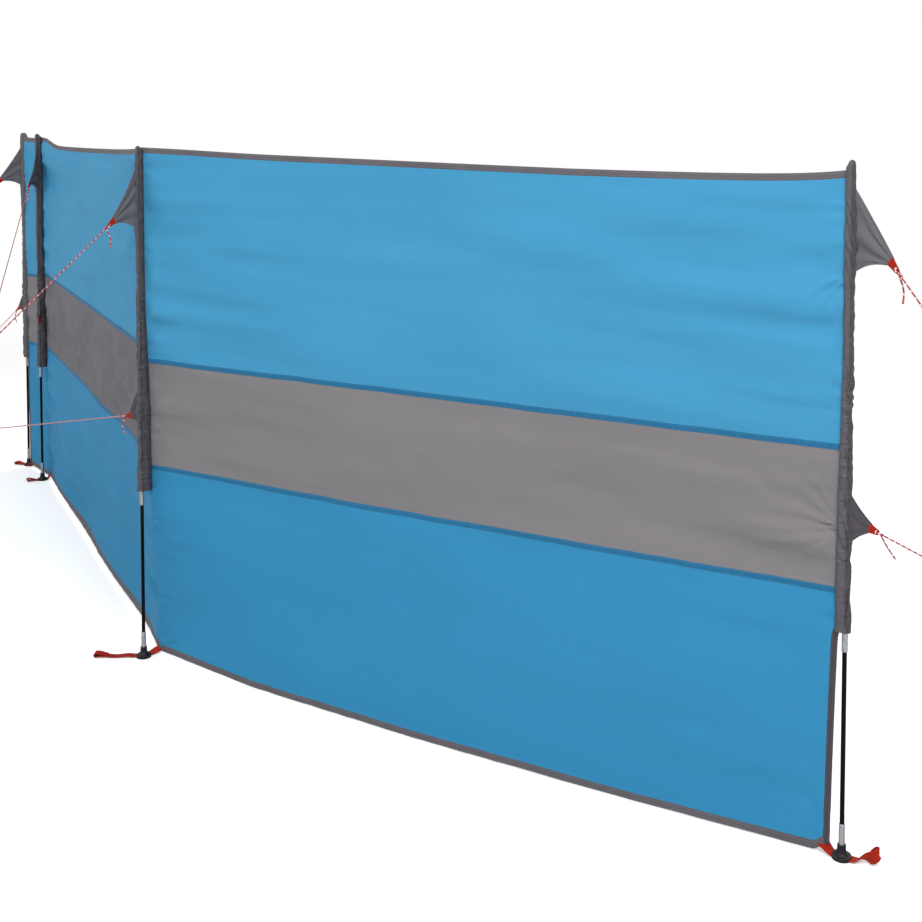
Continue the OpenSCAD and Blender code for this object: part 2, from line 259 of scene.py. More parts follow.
def ribbon(path: np.ndarray, across: np.ndarray, width: float, thickness: float) -> Shape:
    """Flat webbing along a path, with softly rounded selvedges.

    Args:
        path: Points of its middle line.
        across: Direction across the webbing at each point.
        width: Its width.
        thickness: Its thickness.

    Returns:
        The closed webbing.
    """
    way = np.gradient(path, axis=0)
    way /= np.linalg.norm(way, axis=1)[:, None]
    across = across - way * (across * way).sum(1)[:, None]
    across /= np.linalg.norm(across, axis=1)[:, None]
    up = np.cross(way, across)
    shares = np.array([-1, -0.96, -0.8, -0.4, 0, 0.4, 0.8, 0.96, 1])
    body = np.array([0.35, 0.85, 1, 1, 1, 1, 1, 0.85, 0.35])
    places = np.concatenate([shares, shares[::-1]]) * width / 2
    heights = np.concatenate([-body, body[::-1]]) * thickness / 2
    rings = path[:, None] + across[:, None] * places[:, None] + up[:, None] * heights[:, None]
    form = skin(rings, stations(path))
    lateral = np.append(places, [0.0, 0.0])
    count = len(places)
    numbers = np.concatenate([np.array(face) for face in form.faces])
    form.chart[:, 1] = np.where(numbers < count * len(path), lateral[numbers % count], 0.0)
    return form


class Wire:
    """A value in a node tree that takes Python arithmetic."""

    def __init__(self, graph: "Graph", socket: bpy.types.NodeSocket) -> None:
        """Keeps the tree and the socket that the value comes from."""
        self.graph = graph
        self.socket = socket

    def math(self, operation: str, *others: "Wire | float") -> "Wire":
        """Adds one Math node that takes this value first."""
        inputs = dict(enumerate((self, *others)))
        return self.graph.wire("ShaderNodeMath", {"operation": operation}, inputs)

    def __add__(self, other: "Wire | float") -> "Wire":
        """Sum."""
        return self.math("ADD", other)

    def __sub__(self, other: "Wire | float") -> "Wire":
        """Difference."""
        return self.math("SUBTRACT", other)

    def __mul__(self, other: "Wire | float") -> "Wire":
        """Product."""
        return self.math("MULTIPLY", other)

    def __truediv__(self, other: "Wire | float") -> "Wire":
        """Quotient."""
        return self.math("DIVIDE", other)

    def __abs__(self) -> "Wire":
        """Size without its sign."""
        return self.math("ABSOLUTE")

    def sine(self) -> "Wire":
        """Sine."""
        return self.math("SINE")

    def part(self) -> "Wire":
        """What is left over from the whole number below."""
        return self.math("FRACT")

    def step(self, low: float, high: float) -> "Wire":
        """Eases from 0 at low to 1 at high, which may lie below it."""
        settings = {"interpolation_type": "SMOOTHSTEP"}
        return self.graph.wire("ShaderNodeMapRange", settings, {0: self, 1: low, 2: high})


class Graph:
    """Node tree of a material or of the world."""

    def __init__(self, owner: bpy.types.Material | bpy.types.World) -> None:
        """Starts the tree anew.

        Args:
            owner: The material or the world.
        """
        owner.use_nodes = True
        self.owner = owner
        self.tree = owner.node_tree
        self.tree.nodes.clear()

    def node(self, kind: str, settings: dict | None = None,
             inputs: dict | None = None) -> bpy.types.Node:
        """Adds a node.

        Args:
            kind: The node's type.
            settings: What is set on the node first.
            inputs: Values or wires for its sockets, by name or number.

        Returns:
            The node.
        """
        made = self.tree.nodes.new(kind)
        for key, value in (settings or {}).items():
            setattr(made, key, value)
        for key, value in (inputs or {}).items():
            if isinstance(value, Wire):
                self.tree.links.new(value.socket, made.inputs[key])
            else:
                made.inputs[key].default_value = value
        return made

    def wire(self, kind: str, settings: dict | None = None, inputs: dict | None = None,
             output: int | str = 0) -> Wire:
        """Adds a node, as node does, and gives one of its results."""
        return Wire(self, self.node(kind, settings, inputs).outputs[output])

    def chart_vector(self) -> Wire:
        """Gives the chart as a vector."""
        return self.wire("ShaderNodeUVMap", {"uv_map": CHART})

    def chart(self) -> tuple[Wire, Wire]:
        """Gives the two chart numbers, along and across, in metres."""
        parts = self.node("ShaderNodeSeparateXYZ", inputs={0: self.chart_vector()})
        return Wire(self, parts.outputs[0]), Wire(self, parts.outputs[1])

    def place(self) -> Wire:
        """Gives the place in the part's frame, in metres."""
        return self.wire("ShaderNodeTexCoord", output="Object")

    def grain(self, scale: float, detail: float = 2.0, stretch: Place = (1, 1, 1),
              place: Wire | None = None) -> Wire:
        """Adds noise from 0 to 1.

        Args:
            scale: Bumps to a metre.
            detail: Octaves of finer noise.
            stretch: Factor on each axis.
            place: Where it is read, which is the part's frame if nothing is given.

        Returns:
            The noise.
        """
        factors = {0: place or self.place(), 1: stretch}
        spot = self.wire("ShaderNodeVectorMath", {"operation": "MULTIPLY"}, factors)
        inputs = {"Vector": spot, "Scale": scale, "Detail": detail}
        return self.wire("ShaderNodeTexNoise", None, inputs)

    def mix(self, share: "Wire | float", low: "Wire | tuple", high: "Wire | tuple") -> Wire:
        """Blends two colours, from the first at a share of 0 to the second at 1."""
        return self.wire("ShaderNodeMix", {"data_type": "RGBA"}, {0: share, 6: low, 7: high}, 2)

    def bump(self, height: Wire, depth: float, strength: float = 1.0) -> Wire:
        """Turns heights into a normal, where a height of 1 stands for the depth in metres."""
        inputs = {"Height": height, "Distance": depth, "Strength": strength}
        return self.wire("ShaderNodeBump", None, inputs)

    def surface(self, **values: "Wire | float | tuple") -> bpy.types.Material:
        """Ends the tree in one surface shader.

        Args:
            values: The shader's sockets, with underscores for spaces.

        Returns:
            The material.
        """
        named = {key.replace("_", " "): value for key, value in values.items()}
        shader = self.wire("ShaderNodeBsdfPrincipled", None, named)
        self.node("ShaderNodeOutputMaterial", None, {"Surface": shader})
        return self.owner


def shade(colour: Colour, factor: float) -> Colour:
    """Makes a colour lighter or darker by a factor."""
    return colour[0] * factor, colour[1] * factor, colour[2] * factor, 1.0


@dataclass(frozen=True)
class Finish:
    """A finish of the record, made once and then shared.

    Attributes:
        slot: The record's slot, which also starts the material's name.
        colour: Its linear colour.
        variant: Rest of the material's name.
    """

    slot: str
    colour: Colour
    variant: str = "finish"

    def build(self, graph: Graph) -> bpy.types.Material:
        """Ends the graph as this finish."""
        raise NotImplementedError

    def shades(self, graph: Graph, share: Wire, low: float, high: float) -> Wire:
        """Blends two shades of the colour, given as factors on it."""
        return graph.mix(share, shade(self.colour, low), shade(self.colour, high))

    def material(self) -> bpy.types.Material:
        """Gives the material, and makes it the first time."""
        name = f"{self.slot}_{self.variant}"
        return bpy.data.materials.get(name) or self.build(Graph(bpy.data.materials.new(name)))


@dataclass(frozen=True)
class Taffeta(Finish):
    """Thin woven polyester with faint streaks along the weft.

    Attributes:
        thread: Pitch of the threads.
        streak: Share by which the streaks change the colour.
        gloss: Roughness of the cloth.
        shine: Strength of its highlights.
        creased: Depth of its fine creases.
    """

    thread: float = 1.1 * MM
    streak: float = 0.025
    gloss: float = 0.62
    shine: float = 0.05
    creased: float = 0.0

    def build(self, graph: Graph) -> bpy.types.Material:
        """Ends the graph as woven cloth.

        Args:
            graph: The tree to end.

        Returns:
            The material.
        """
        right, up = graph.chart()
        spot = graph.chart_vector()
        pitch = 2 * math.pi / self.thread
        weave = (right * pitch).sine() * (up * pitch).sine() * 0.5 + 0.5
        streaks = graph.grain(1.0, 3.0, (3.0, 420.0, 1.0), spot)
        cloud = graph.grain(3.4, 3.0, place=spot)
        weft = streaks.step(0.25, 0.75)
        ground = self.shades(graph, weft, 1 - self.streak, 1 + self.streak)
        tint = graph.mix(cloud.step(0.3, 0.7) * 0.35, ground, shade(self.colour, 0.93))
        specks = graph.grain(60.0, 4.0).step(0.55, 0.8)
        patches = graph.grain(5.0, 2.0).step(0.4, 0.75)
        colour = graph.mix(specks * patches * 0.08, tint, shade(self.colour, 1.25))
        threads = graph.mix(weave * 0.06, colour, shade(self.colour, 0.6))
        rough = graph.grain(40.0, 3.0) * 0.16 + (self.gloss - 0.08)
        relief = weave * 0.5 + streaks * 0.35
        normal = graph.bump(relief, 0.00025, 0.3)
        if self.creased:
            ridges = abs(graph.grain(42.0, 2.0, (1.0, 0.55, 1.0), spot) - 0.5).step(0.0, 0.16)
            ridges = ridges * (right.step(0.95, 1.20) * -0.8 + 1.0)
            normal = graph.bump(relief * (0.00008 / self.creased) + ridges, self.creased, 0.8)
        return graph.surface(
            Base_Color=self.with_painted_shade(graph, threads),
            Roughness=rough,
            Normal=normal,
            Specular_IOR_Level=self.shine,
        )

    def with_painted_shade(self, graph: Graph, colour: Wire) -> Wire:
        """Gives the cloth's colour with any painted shade; plain cloth leaves it as it is."""
        return colour


@dataclass(frozen=True)
class SleeveCloth(Taffeta):
    """Sleeve cloth with shade painted on its sides, which leaves a paler strip on its face.

    Attributes:
        middle: Chart place of the strip's middle.
        half: Half of the strip's width.
        dark: Factor on the colour beside the strip, which paints the shade on the sleeve's sides.
    """

    streak: float = 0.05
    gloss: float = 0.44
    shine: float = 0.2
    creased: float = 0.003
    middle: float = 0.04
    half: float = 0.011
    dark: float = 0.60

    def with_painted_shade(self, graph: Graph, colour: Wire) -> Wire:
        """Paints shade on the cloth beside its face strip.

        Args:
            graph: The tree.
            colour: The cloth's colour.

        Returns:
            The colour with painted shade on its sides.
        """
        across = graph.chart()[1]
        # painted shade: the sides are darkened to stand for the shade that falls on them, and the
        # face strip is left pale
        side = abs(across - self.middle).step(self.half - 0.003, self.half + 0.005)
        return graph.mix(side, colour, shade(self.colour, self.dark))


@dataclass(frozen=True)
class Stitched(Finish):
    """Finish with a row of stitches on each side of its middle.

    Attributes:
        row: Distance of a stitch row from the middle.
        stitch: Length of one stitch with its gap.
        sewn: Share of that length which the stitch takes.
        thread: Half of the thread's width.
    """

    row: float = 4.0 * MM
    stitch: float = 4.0 * MM
    sewn: float = 0.62
    thread: float = 0.4 * MM

    def stitches(self, graph: Graph) -> Wire:
        """Marks the stitches.

        Args:
            graph: The tree.

        Returns:
            1 on the thread and 0 beside it.
        """
        length, across = graph.chart()
        on_row = abs(abs(across) - self.row).step(self.thread + 0.5 * MM, self.thread)
        return on_row * (length / self.stitch).part().step(self.sewn + 0.1, self.sewn)


@dataclass(frozen=True)
class Tape(Stitched):
    """Ribbed binding tape with a row of stitches near each edge.

    Attributes:
        rib: Pitch of the ribs along the tape.
    """

    rib: float = 1.4 * MM

    def build(self, graph: Graph) -> bpy.types.Material:
        """Ends the graph as stitched tape.

        Args:
            graph: The tree to end.

        Returns:
            The material.
        """
        ribs = (graph.chart()[0] * (2 * math.pi / self.rib)).sine() * 0.5 + 0.5
        thread = self.stitches(graph)
        worn = graph.grain(22.0, 4.0).step(0.35, 0.75)
        ground = self.shades(graph, worn * 0.5, 0.86, 1.14)
        ribbed = graph.mix(ribs * 0.12, ground, shade(self.colour, 0.55))
        colour = graph.mix(thread * 0.7, ribbed, shade(self.colour, 1.5))
        height = ribs * 0.4 + thread * 0.6 + worn * 0.15
        return graph.surface(
            Base_Color=colour,
            Roughness=worn * 0.12 + 0.6,
            Normal=graph.bump(height, 0.0004, 0.6),
            Specular_IOR_Level=0.12,
        )


@dataclass(frozen=True)
class Webbing(Finish):
    """Flat herringbone webbing.

    Attributes:
        pitch: Pitch of the slanted ribs.
        lane: Width of one lane of ribs.
    """

    pitch: float = 2.2 * MM
    lane: float = 6.2 * MM

    def build(self, graph: Graph) -> bpy.types.Material:
        """Ends the graph as webbing.

        Args:
            graph: The tree to end.

        Returns:
            The material.
        """
        length, across = graph.chart()
        lane = abs((across / self.lane).part() - 0.5) * (2 * self.lane)
        ribs = ((length + lane) * (2 * math.pi / self.pitch)).sine() * 0.5 + 0.5
        worn = graph.grain(90.0, 4.0).step(0.3, 0.75)
        edge = abs(across).step(0.0105, 0.0125)
        ground = self.shades(graph, worn * 0.6, 0.78, 1.12)
        ribbed = graph.mix(ribs * 0.35, ground, shade(self.colour, 0.5))
        colour = graph.mix(edge * 0.35, ribbed, shade(self.colour, 0.45))
        return graph.surface(
            Base_Color=colour,
            Roughness=worn * 0.15 + 0.5,
            Normal=graph.bump(ribs, 0.0004, 0.7),
            Specular_IOR_Level=0.15,
        )


@dataclass(frozen=True)
class Braid(Finish):
    """Braided cord with pale and dark flecks.

    Attributes:
        pale: Colour of the pale flecks.
        dark: Colour of the dark flecks.
        lay: Length of one turn of the braid.
        strand: Pitch of its strands.
    """

    pale: Colour = srgb(238, 226, 222)
    dark: Colour = srgb(44, 22, 24)
    lay: float = 17.0 * MM
    strand: float = 2.1 * MM

    def build(self, graph: Graph) -> bpy.types.Material:
        """Ends the graph as braided cord.

        Args:
            graph: The tree to end.

        Returns:
            The material.
        """
        length, turn = graph.chart()
        full = 2 * math.pi
        left = (length * (full / self.lay) + turn * full).sine()
        right = (length * (full / self.lay) - turn * full).sine()
        pale = (left * 0.7 + right * 0.5).step(0.62, 0.90)
        dark = (left * -0.7 + right * 0.4).step(0.16, 0.46)
        across, on = turn * (2 * full), length * (full / self.strand)
        strands = (on + across).sine() * (on - across).sine()
        fuzz = graph.grain(700.0, 3.0)
        ground = self.shades(graph, fuzz * 0.6, 0.7, 1.2)
        flecked = graph.mix(dark * 0.85, graph.mix(pale * 0.9, ground, self.pale), self.dark)
        colour = graph.mix(strands.step(0.2, 0.9) * 0.25, flecked, self.dark)
        return graph.surface(
            Base_Color=colour,
            Roughness=fuzz * 0.2 + 0.55,
            Normal=graph.bump(strands * 0.5 + 0.5, 0.0004, 0.6),
            Sheen_Weight=0.2,
        )


@dataclass(frozen=True)
class GlassFibre(Finish):
    """Smooth drawn rod with fine lines along it and a few scuffs."""

    def build(self, graph: Graph) -> bpy.types.Material:
        """Ends the graph as drawn rod.

        Args:
            graph: The tree to end.

        Returns:
            The material.
        """
        lines = graph.grain(900.0, 2.0, (1.0, 1.0, 0.006))
        scuffs = graph.grain(160.0, 4.0, (1.0, 1.0, 0.25)).step(0.62, 0.78)
        colour = graph.mix(lines * 0.6 + scuffs * 0.3, self.colour, shade(self.colour, 2.4))
        return graph.surface(
            Base_Color=colour,
            Roughness=scuffs * 0.25 + 0.34,
            Normal=graph.bump(lines, 0.0002, 0.3),
            Specular_IOR_Level=0.05,
        )


@dataclass(frozen=True)
class TurnedMetal(Finish):
    """Bright metal with fine turning lines and dull spots.

    Attributes:
        lines: Turning lines to a metre.
        gloss: Lowest roughness.
    """

    lines: float = 2400.0
    gloss: float = 0.26

    def build(self, graph: Graph) -> bpy.types.Material:
        """Ends the graph as turned metal.

        Args:
            graph: The tree to end.

        Returns:
            The material.
        """
        turned = graph.grain(self.lines, 2.0, (0.02, 0.02, 1.0))
        dull = graph.grain(120.0, 4.0).step(0.4, 0.75)
        colour = graph.mix(dull * 0.6 + turned * 0.2, self.colour, shade(self.colour, 0.7))
        return graph.surface(
            Base_Color=colour,
            Metallic=0.9,
            Roughness=turned * 0.14 + dull * 0.16 + self.gloss,
            Normal=graph.bump(turned, 0.00012, 0.5),
        )


@dataclass(frozen=True)
class Moulding(Finish):
    """Moulded plastic with a fine spark grain and paler rubbed spots.

    Attributes:
        grains: Grains to a metre.
    """

    grains: float = 1500.0

    def build(self, graph: Graph) -> bpy.types.Material:
        """Ends the graph as moulded plastic.

        Args:
            graph: The tree to end.

        Returns:
            The material.
        """
        fine = graph.grain(self.grains, 3.0)
        rubbed = graph.grain(110.0, 4.0).step(0.52, 0.78)
        dust = graph.grain(30.0, 5.0).step(0.5, 0.8)
        colour = graph.mix(rubbed * 0.35 + dust * 0.25, self.colour, shade(self.colour, 2.6))
        return graph.surface(
            Base_Color=colour,
            Roughness=fine * 0.18 + 0.46 - rubbed * 0.1,
            Normal=graph.bump(fine, 0.0003, 0.5),
            Specular_IOR_Level=0.25,
        )


@dataclass(frozen=True)
class Seam(Stitched):
    """Felled seam of the blue cloth, with two rows of stitches."""

    row: float = 4.5 * MM
    stitch: float = 3.4 * MM
    sewn: float = 0.64
    thread: float = 0.3 * MM

    def build(self, graph: Graph) -> bpy.types.Material:
        """Ends the graph as a stitched seam.

        Args:
            graph: The tree to end.

        Returns:
            The material.
        """
        thread = self.stitches(graph)
        pucker = graph.grain(1.0, 3.0, (160.0, 25.0, 1.0), graph.chart_vector())
        ground = self.shades(graph, pucker.step(0.3, 0.7) * 0.6, 0.82, 1.12)
        colour = graph.mix(thread * 0.7, ground, shade(self.colour, 1.35))
        return graph.surface(
            Base_Color=colour,
            Roughness=pucker * 0.12 + 0.56,
            Normal=graph.bump(pucker * 0.7 + thread * 0.3, 0.0006, 0.6),
            Specular_IOR_Level=0.1,
        )


UPPER_CLOTH = Taffeta("upper_cloth", srgb(64, 139, 178))
LOWER_CLOTH = Taffeta("lower_cloth", srgb(50, 129, 171))
FELLED_SEAM = Seam("lower_cloth", srgb(39, 103, 141), "seam")
BAND_CLOTH = Taffeta("band_cloth", srgb(120, 117, 119), streak=0.03)
# painted shade: the side bay's band is the band cloth made darker, for the weaker light on that
# bay
SHADED_SIDE_BAND = Taffeta("band_cloth", srgb(104, 102, 106), "side", streak=0.04)
# the dark factor of the sleeve finishes paints shade on the sleeves' sides
SLEEVE_CLOTH = SleeveCloth("sleeve_cloth", srgb(82, 79, 85), dark=0.62)
# painted shade: the middle poles' sleeves take the same sleeve cloth made darker, for the shade
# they stand in
SHADED_MIDDLE_SLEEVE = SleeveCloth("sleeve_cloth", srgb(77, 75, 82), "middle", dark=0.58)
FLAP_CLOTH = Taffeta("flap_cloth", srgb(96, 94, 98), streak=0.05, gloss=0.5)
# painted shade: the lower flaps take the flap cloth made darker, for the shade on them
SHADED_LOW_FLAP_CLOTH = Taffeta("flap_cloth", srgb(76, 73, 77), "low", streak=0.05, gloss=0.5)
HEM_TAPE = Tape("hem_tape", srgb(95, 91, 96))
EDGE_TAPE = Tape("hem_tape", srgb(72, 66, 73), "edge")
RED_WEBBING = Webbing("red_webbing", srgb(171, 34, 9))
GUY_CORD = Braid("guy_cord", srgb(190, 38, 32))
ROD_FINISH = GlassFibre("glass_fibre", srgb(6, 6, 7))
FERRULE_METAL = TurnedMetal("ferrule_metal", srgb(158, 158, 161))
FOOT_PLASTIC = Moulding("foot_plastic", srgb(15, 15, 17))
SLIDER_PLASTIC = Moulding("slider_plastic", srgb(22, 22, 24))
PEG_STEEL = TurnedMetal("peg_steel", srgb(132, 134, 138), lines=900.0, gloss=0.34)


def add_piece(name: str, shape: Shape, finish: Finish,
              replaced: Sequence[str] = ()) -> bpy.types.Object:
    """Makes a piece of the object from a form.

    Args:
        name: Its name.
        shape: Its form.
        finish: Its finish.
        replaced: The solids that it stands for.

    Returns:
        The piece.
    """
    mesh = bpy.data.meshes.new(name)
    mesh.from_pydata(shape.points.tolist(), [], shape.faces)
    layer = mesh.uv_layers.new(name=CHART)
    layer.uv.foreach_set("vector", shape.chart.astype(np.float32).ravel())
    mesh.polygons.foreach_set("use_smooth", np.ones(len(mesh.polygons), bool))
    mesh.set_sharp_from_angle(angle=SHARP_ANGLE)
    mesh.materials.append(finish.material())
    piece = bpy.data.objects.new(name, mesh)
    bpy.context.scene.collection.objects.link(piece)
    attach(piece, BODY)
    if replaced:
        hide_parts(*replaced)
    LOG.info("%s: %d faces", name, len(mesh.polygons))
    return piece


def left_of(way: np.ndarray) -> np.ndarray:
    """Level direction to the left of a level direction."""
    return np.array([-way[1], way[0], 0.0])


def thinned(share: np.ndarray) -> np.ndarray:
    """Share of a tape's thickness at shares of its width."""
    return 1 - 0.6 * np.abs(2 * share - 1) ** 5


class EndKind(Enum):
    """What holds an end of a bay."""

    SEAM = "seam behind a middle pole"
    EDGE = "sleeve of an end pole"


@dataclass(frozen=True)
class BayEnd:
    """One end of a bay.

    Attributes:
        kind: What holds it.
        heading: Heading of the pole there, in degrees.
        drawn: How far the cloth is drawn back there below the sleeve.
        reach: How far along the bay the draw reaches.
        tuck: How far it is drawn forward there, up at the top of the sleeve.
        tuck_reach: How far along the bay the tuck reaches.
        peak: How much higher the upper edge runs there.
        peak_reach: How far along the bay the upper edge falls from there.
        low: Height of the lower edge there.
        low_reach: How far along the bay the lower edge takes to leave that height.
    """

    kind: EndKind
    heading: float
    drawn: float = 0.0
    reach: float = 2.0
    tuck: float = 0.0
    tuck_reach: float = 0.8
    peak: float = 0.0
    peak_reach: float = 1.35
    low: float = CLOTH_LOW
    low_reach: float = 0.16

    def raised(self, distance: np.ndarray) -> np.ndarray:
        """How much higher the upper edge runs at distances from this end."""
        return self.peak * np.clip(1 - distance / self.peak_reach, 0, 1)

    def moved(self, distance: np.ndarray, z: np.ndarray) -> np.ndarray:
        """How far the cloth is drawn back below the sleeve, and forward above.

        Args:
            distance: Distance from this end.
            z: Height.

        Returns:
            The displacement, three numbers for each place.
        """
        below, above = smooth(0.52, 0.10, z), smooth(0.70, 1.10, z)
        below = below * (1 - 0.22 * smooth(0.10, 0.0, z))
        drawn = self.drawn * below * np.clip(1 - distance / self.reach, 0, 1)
        tucked = self.tuck * above * np.clip(1 - distance / self.tuck_reach, 0, 1)
        return (tucked - drawn)[..., None] * front(self.heading)


@dataclass(frozen=True)
class Pull:
    """Folds that fan out from a pulled point of the cloth.

    Attributes:
        s: Place of the point along the bay.
        z: Its height.
        depth: Depth of the folds.
        reach: How far they run.
        count: Folds to a radian.
        phase: Where the first one lies.
        lean: Angle of the middle of the fan, in radians up from level.
        spread: Half of the fan's angle.
    """

    s: float
    z: float
    depth: float
    reach: float
    count: float
    phase: float
    lean: float = 0.0
    spread: float = 1.2

    def height(self, s: np.ndarray, z: np.ndarray) -> np.ndarray:
        """Height of the folds at places on the cloth.

        Args:
            s: Places along the bay.
            z: Heights.

        Returns:
            The height out of the cloth.
        """
        apart, flat, bump, seed = 0.004, 0.02, 0.08, 71
        x, y = np.abs(s - self.s) + apart, z - self.z
        far = np.hypot(x, y)
        angle = np.arctan2(y, x) + 0.12 * ripple(x / bump, y / bump, seed)
        aside = (angle - self.lean) / self.spread
        fade = np.exp(-far / self.reach - aside**2) * far / (far + flat)
        return self.depth * np.cos(self.count * angle + self.phase) * fade


@dataclass(frozen=True)
class Wave:
    """Seeded ripple of the cloth.

    Attributes:
        depth: Its depth.
        long: Length of one bump along the bay.
        high: Height of one bump.
        shift: What is added to the bay's seed.
        slant: Rise in which the bumps move on by one bump.
        climb: Share by which the bumps climb along the bay.
        reach: Distance from the line that it keeps to, over which it fades.
        start: Distance from that line over which it starts.
    """

    depth: float
    long: float
    high: float
    shift: int
    slant: float = math.inf
    climb: float = 0.0
    reach: float = math.inf
    start: float = 0.0

    def at(self, s: np.ndarray, z: np.ndarray, seed: int,
           distance: np.ndarray | float = 0.0) -> np.ndarray:
        """Height of the ripple at places on the cloth.

        Args:
            s: Places along the bay.
            z: Heights.
            seed: Seed of the bay.
            distance: Distances from the line that it keeps to.

        Returns:
            The height.
        """
        fade = np.exp(-distance / self.reach)
        if self.start:
            fade = fade * smooth(0.0, self.start, distance)
        column, row = s / self.long + z / self.slant, (z + self.climb * s) / self.high
        return self.depth * fade * ripple(column, row, seed + self.shift)


LOOSE_WAVES = (
    Wave(0.009, 0.42, 0.30, 0, start=0.16),
    Wave(0.0062, 0.36, 0.085, 1, slant=0.9, start=0.16),
    Wave(0.0095, 0.30, 0.046, 2, slant=-0.5, climb=0.06, reach=0.34, start=0.05),
)
BAND_WAVES = (Wave(0.0015, 0.09, 1.0, 3), Wave(0.0015, 0.09, 1.0, 4))
GATHERS = Wave(0.0026, 0.10, 0.016, 5, reach=0.06, start=0.012)
SEAM_PUCKER = Wave(0.0011, 0.021, 0.08, 6, reach=0.018)
HEM_PUCKER = Wave(0.0010, 0.030, 0.09, 7, reach=0.02)
EDGE_WAVE = Wave(0.001, 0.13, 1.0, 8)
CRUMPLES = Wave(1.0, 0.10, 0.07, 9, slant=0.2)


@dataclass
class Bay:
    """One bay of the cloth, cut into panels, band and hems from a single surface.

    Attributes:
        name: Its name.
        start: Plan of its left end.
        heading: Its heading, in degrees.
        length: Its length.
        left: Its left end.
        right: Its right end.
        band: Heights of the band's two sides, at the left end and at the right one.
        seed: Seed of its folds.
        sag: Sag of the upper edge at its middle.
        dips: Quick dips of the upper edge beside the left and the right end.
        right_drop: How much lower the upper edge meets the right end.
        bulge: How far the lower edge bulges to the front at its middle.
        lift: How far the lower edge is lifted between the ends.
        crumple: Depth of the crumples on the band.
        pulls: Fans of folds.
        folding: Factor on the loose folds.
        taut_low: Share by which the loose folds are less below the band.
        top_hem: Height of the upper hem's tape.
        bottom_hem: Height of the lower hem's tape.
        joint_hem: Height of the lower hem's tape at the ends of the bay.
        seam: Height of a felled seam.
        binding: Width of the tape on a free end.
        gaps: Distance of a free end from the pole's middle in the sleeve, and what is added to it
            just below the sleeve and then down to the ground.
        cloth: Thickness of the cloth.
        doubled: Thickness of hems and seams.
        bound: Half of the thickness of the tape on a free end.
        tucked: How far that tape runs up into the sleeve.
        step: Distance between rows of points.
        column_step: Mean distance between columns of points.
        tape_rows: Rows of points across a tape.
        binding_rows: Rows of points along the tape on a free end.
        band_finish: Finish of the band.
        pieces: The pieces that were made, by part.
    """

    name: str
    start: tuple[float, float]
    heading: float
    length: float
    left: BayEnd
    right: BayEnd
    band: tuple[tuple[float, float], tuple[float, float]]
    seed: int
    sag: float
    crumple: float
    dips: tuple[float, float] = (0.0, 0.0)
    right_drop: float = 0.0
    bulge: float = 0.0
    lift: float = 0.0
    pulls: tuple[Pull, ...] = ()
    folding: float = 1.0
    taut_low: float = 0.0
    top_hem: float = 0.020
    bottom_hem: float = 0.014
    joint_hem: float = 0.020
    seam: float = 0.013
    binding: float = 0.013
    gaps: Place = (0.008, 0.006, 0.013)
    cloth: float = 0.0010
    doubled: float = 0.0026
    bound: float = 0.0017
    tucked: float = 0.02
    step: float = 0.0055
    column_step: float = 0.0095
    tape_rows: int = 7
    binding_rows: int = 80
    band_finish: Taffeta = BAND_CLOTH
    pieces: dict[str, bpy.types.Object] = field(default_factory=dict)

    def share(self, s: np.ndarray) -> np.ndarray:
        """Share of the bay's length."""
        return np.clip(np.asarray(s, float) / self.length, 0, 1)

    def top(self, s: np.ndarray) -> np.ndarray:
        """Height of the upper edge.

        Args:
            s: Places along the bay.

        Returns:
            The heights.
        """
        u = self.share(s)
        from_left, from_right = u * self.length, (1 - u) * self.length
        quick = self.dips[0] * smooth(0.10, 0.46, from_left) * (1 - u) ** 0.7
        quick = quick + self.dips[1] * (1 - np.exp(-from_right / 0.10)) * u
        level = CLOTH_HIGH + self.left.raised(from_left) + self.right.raised(from_right)
        return level - 4 * self.sag * u * (1 - u) - quick - self.right_drop * smooth(0.3, 1.0, u)

    def bottom(self, s: np.ndarray) -> np.ndarray:
        """Height of the lower edge.

        Args:
            s: Places along the bay.

        Returns:
            The heights.
        """
        u = self.share(s)
        level = CLOTH_LOW + self.lift + EDGE_WAVE.at(np.asarray(s), 0.5, self.seed)
        for end, distance in ((self.left, u * self.length), (self.right, (1 - u) * self.length)):
            level = level + (end.low - level) * (1 - smooth(0, end.low_reach, distance))
        return level

    def band_side(self, side: int, s: np.ndarray) -> np.ndarray:
        """Height of one side of the band.

        Args:
            side: 0 for the lower side and 1 for the upper one.
            s: Places along the bay.

        Returns:
            The heights.
        """
        u = self.share(s)
        level = self.band[0][side] * (1 - u) + self.band[1][side] * u
        return level + BAND_WAVES[side].at(np.asarray(s), 0.5, self.seed)

    def lines(self, s: np.ndarray) -> tuple[np.ndarray, ...]:
        """Heights of the lower edge, the band's lower and upper side and the upper edge."""
        return self.bottom(s), self.band_side(0, s), self.band_side(1, s), self.top(s)

    def hem_height(self, s: np.ndarray) -> np.ndarray:
        """Height of the lower hem's tape, which evens out where bays meet.

        Args:
            s: Places along the bay.

        Returns:
            The heights.
        """
        along_bay = self.share(s) * self.length
        near_end = np.exp(-along_bay / 0.12) + np.exp((along_bay - self.length) / 0.12)
        return self.bottom_hem + (self.joint_hem - self.bottom_hem) * np.clip(near_end, 0, 1)

    def ends(self, z: np.ndarray) -> tuple[np.ndarray, np.ndarray]:
        """Where the cloth starts and stops along the bay at a height.

        Args:
            z: Heights.

        Returns:
            The left and the right end.
        """
        inside, below, drift = self.gaps
        gap = inside + below * smooth(0.505, 0.475, z)
        gap = gap + drift * np.clip(1 - z / SLEEVE_LOW, 0, 1) ** 0.7
        left, right = (gap * (end.kind is EndKind.EDGE) for end in (self.left, self.right))
        return left, self.length - right

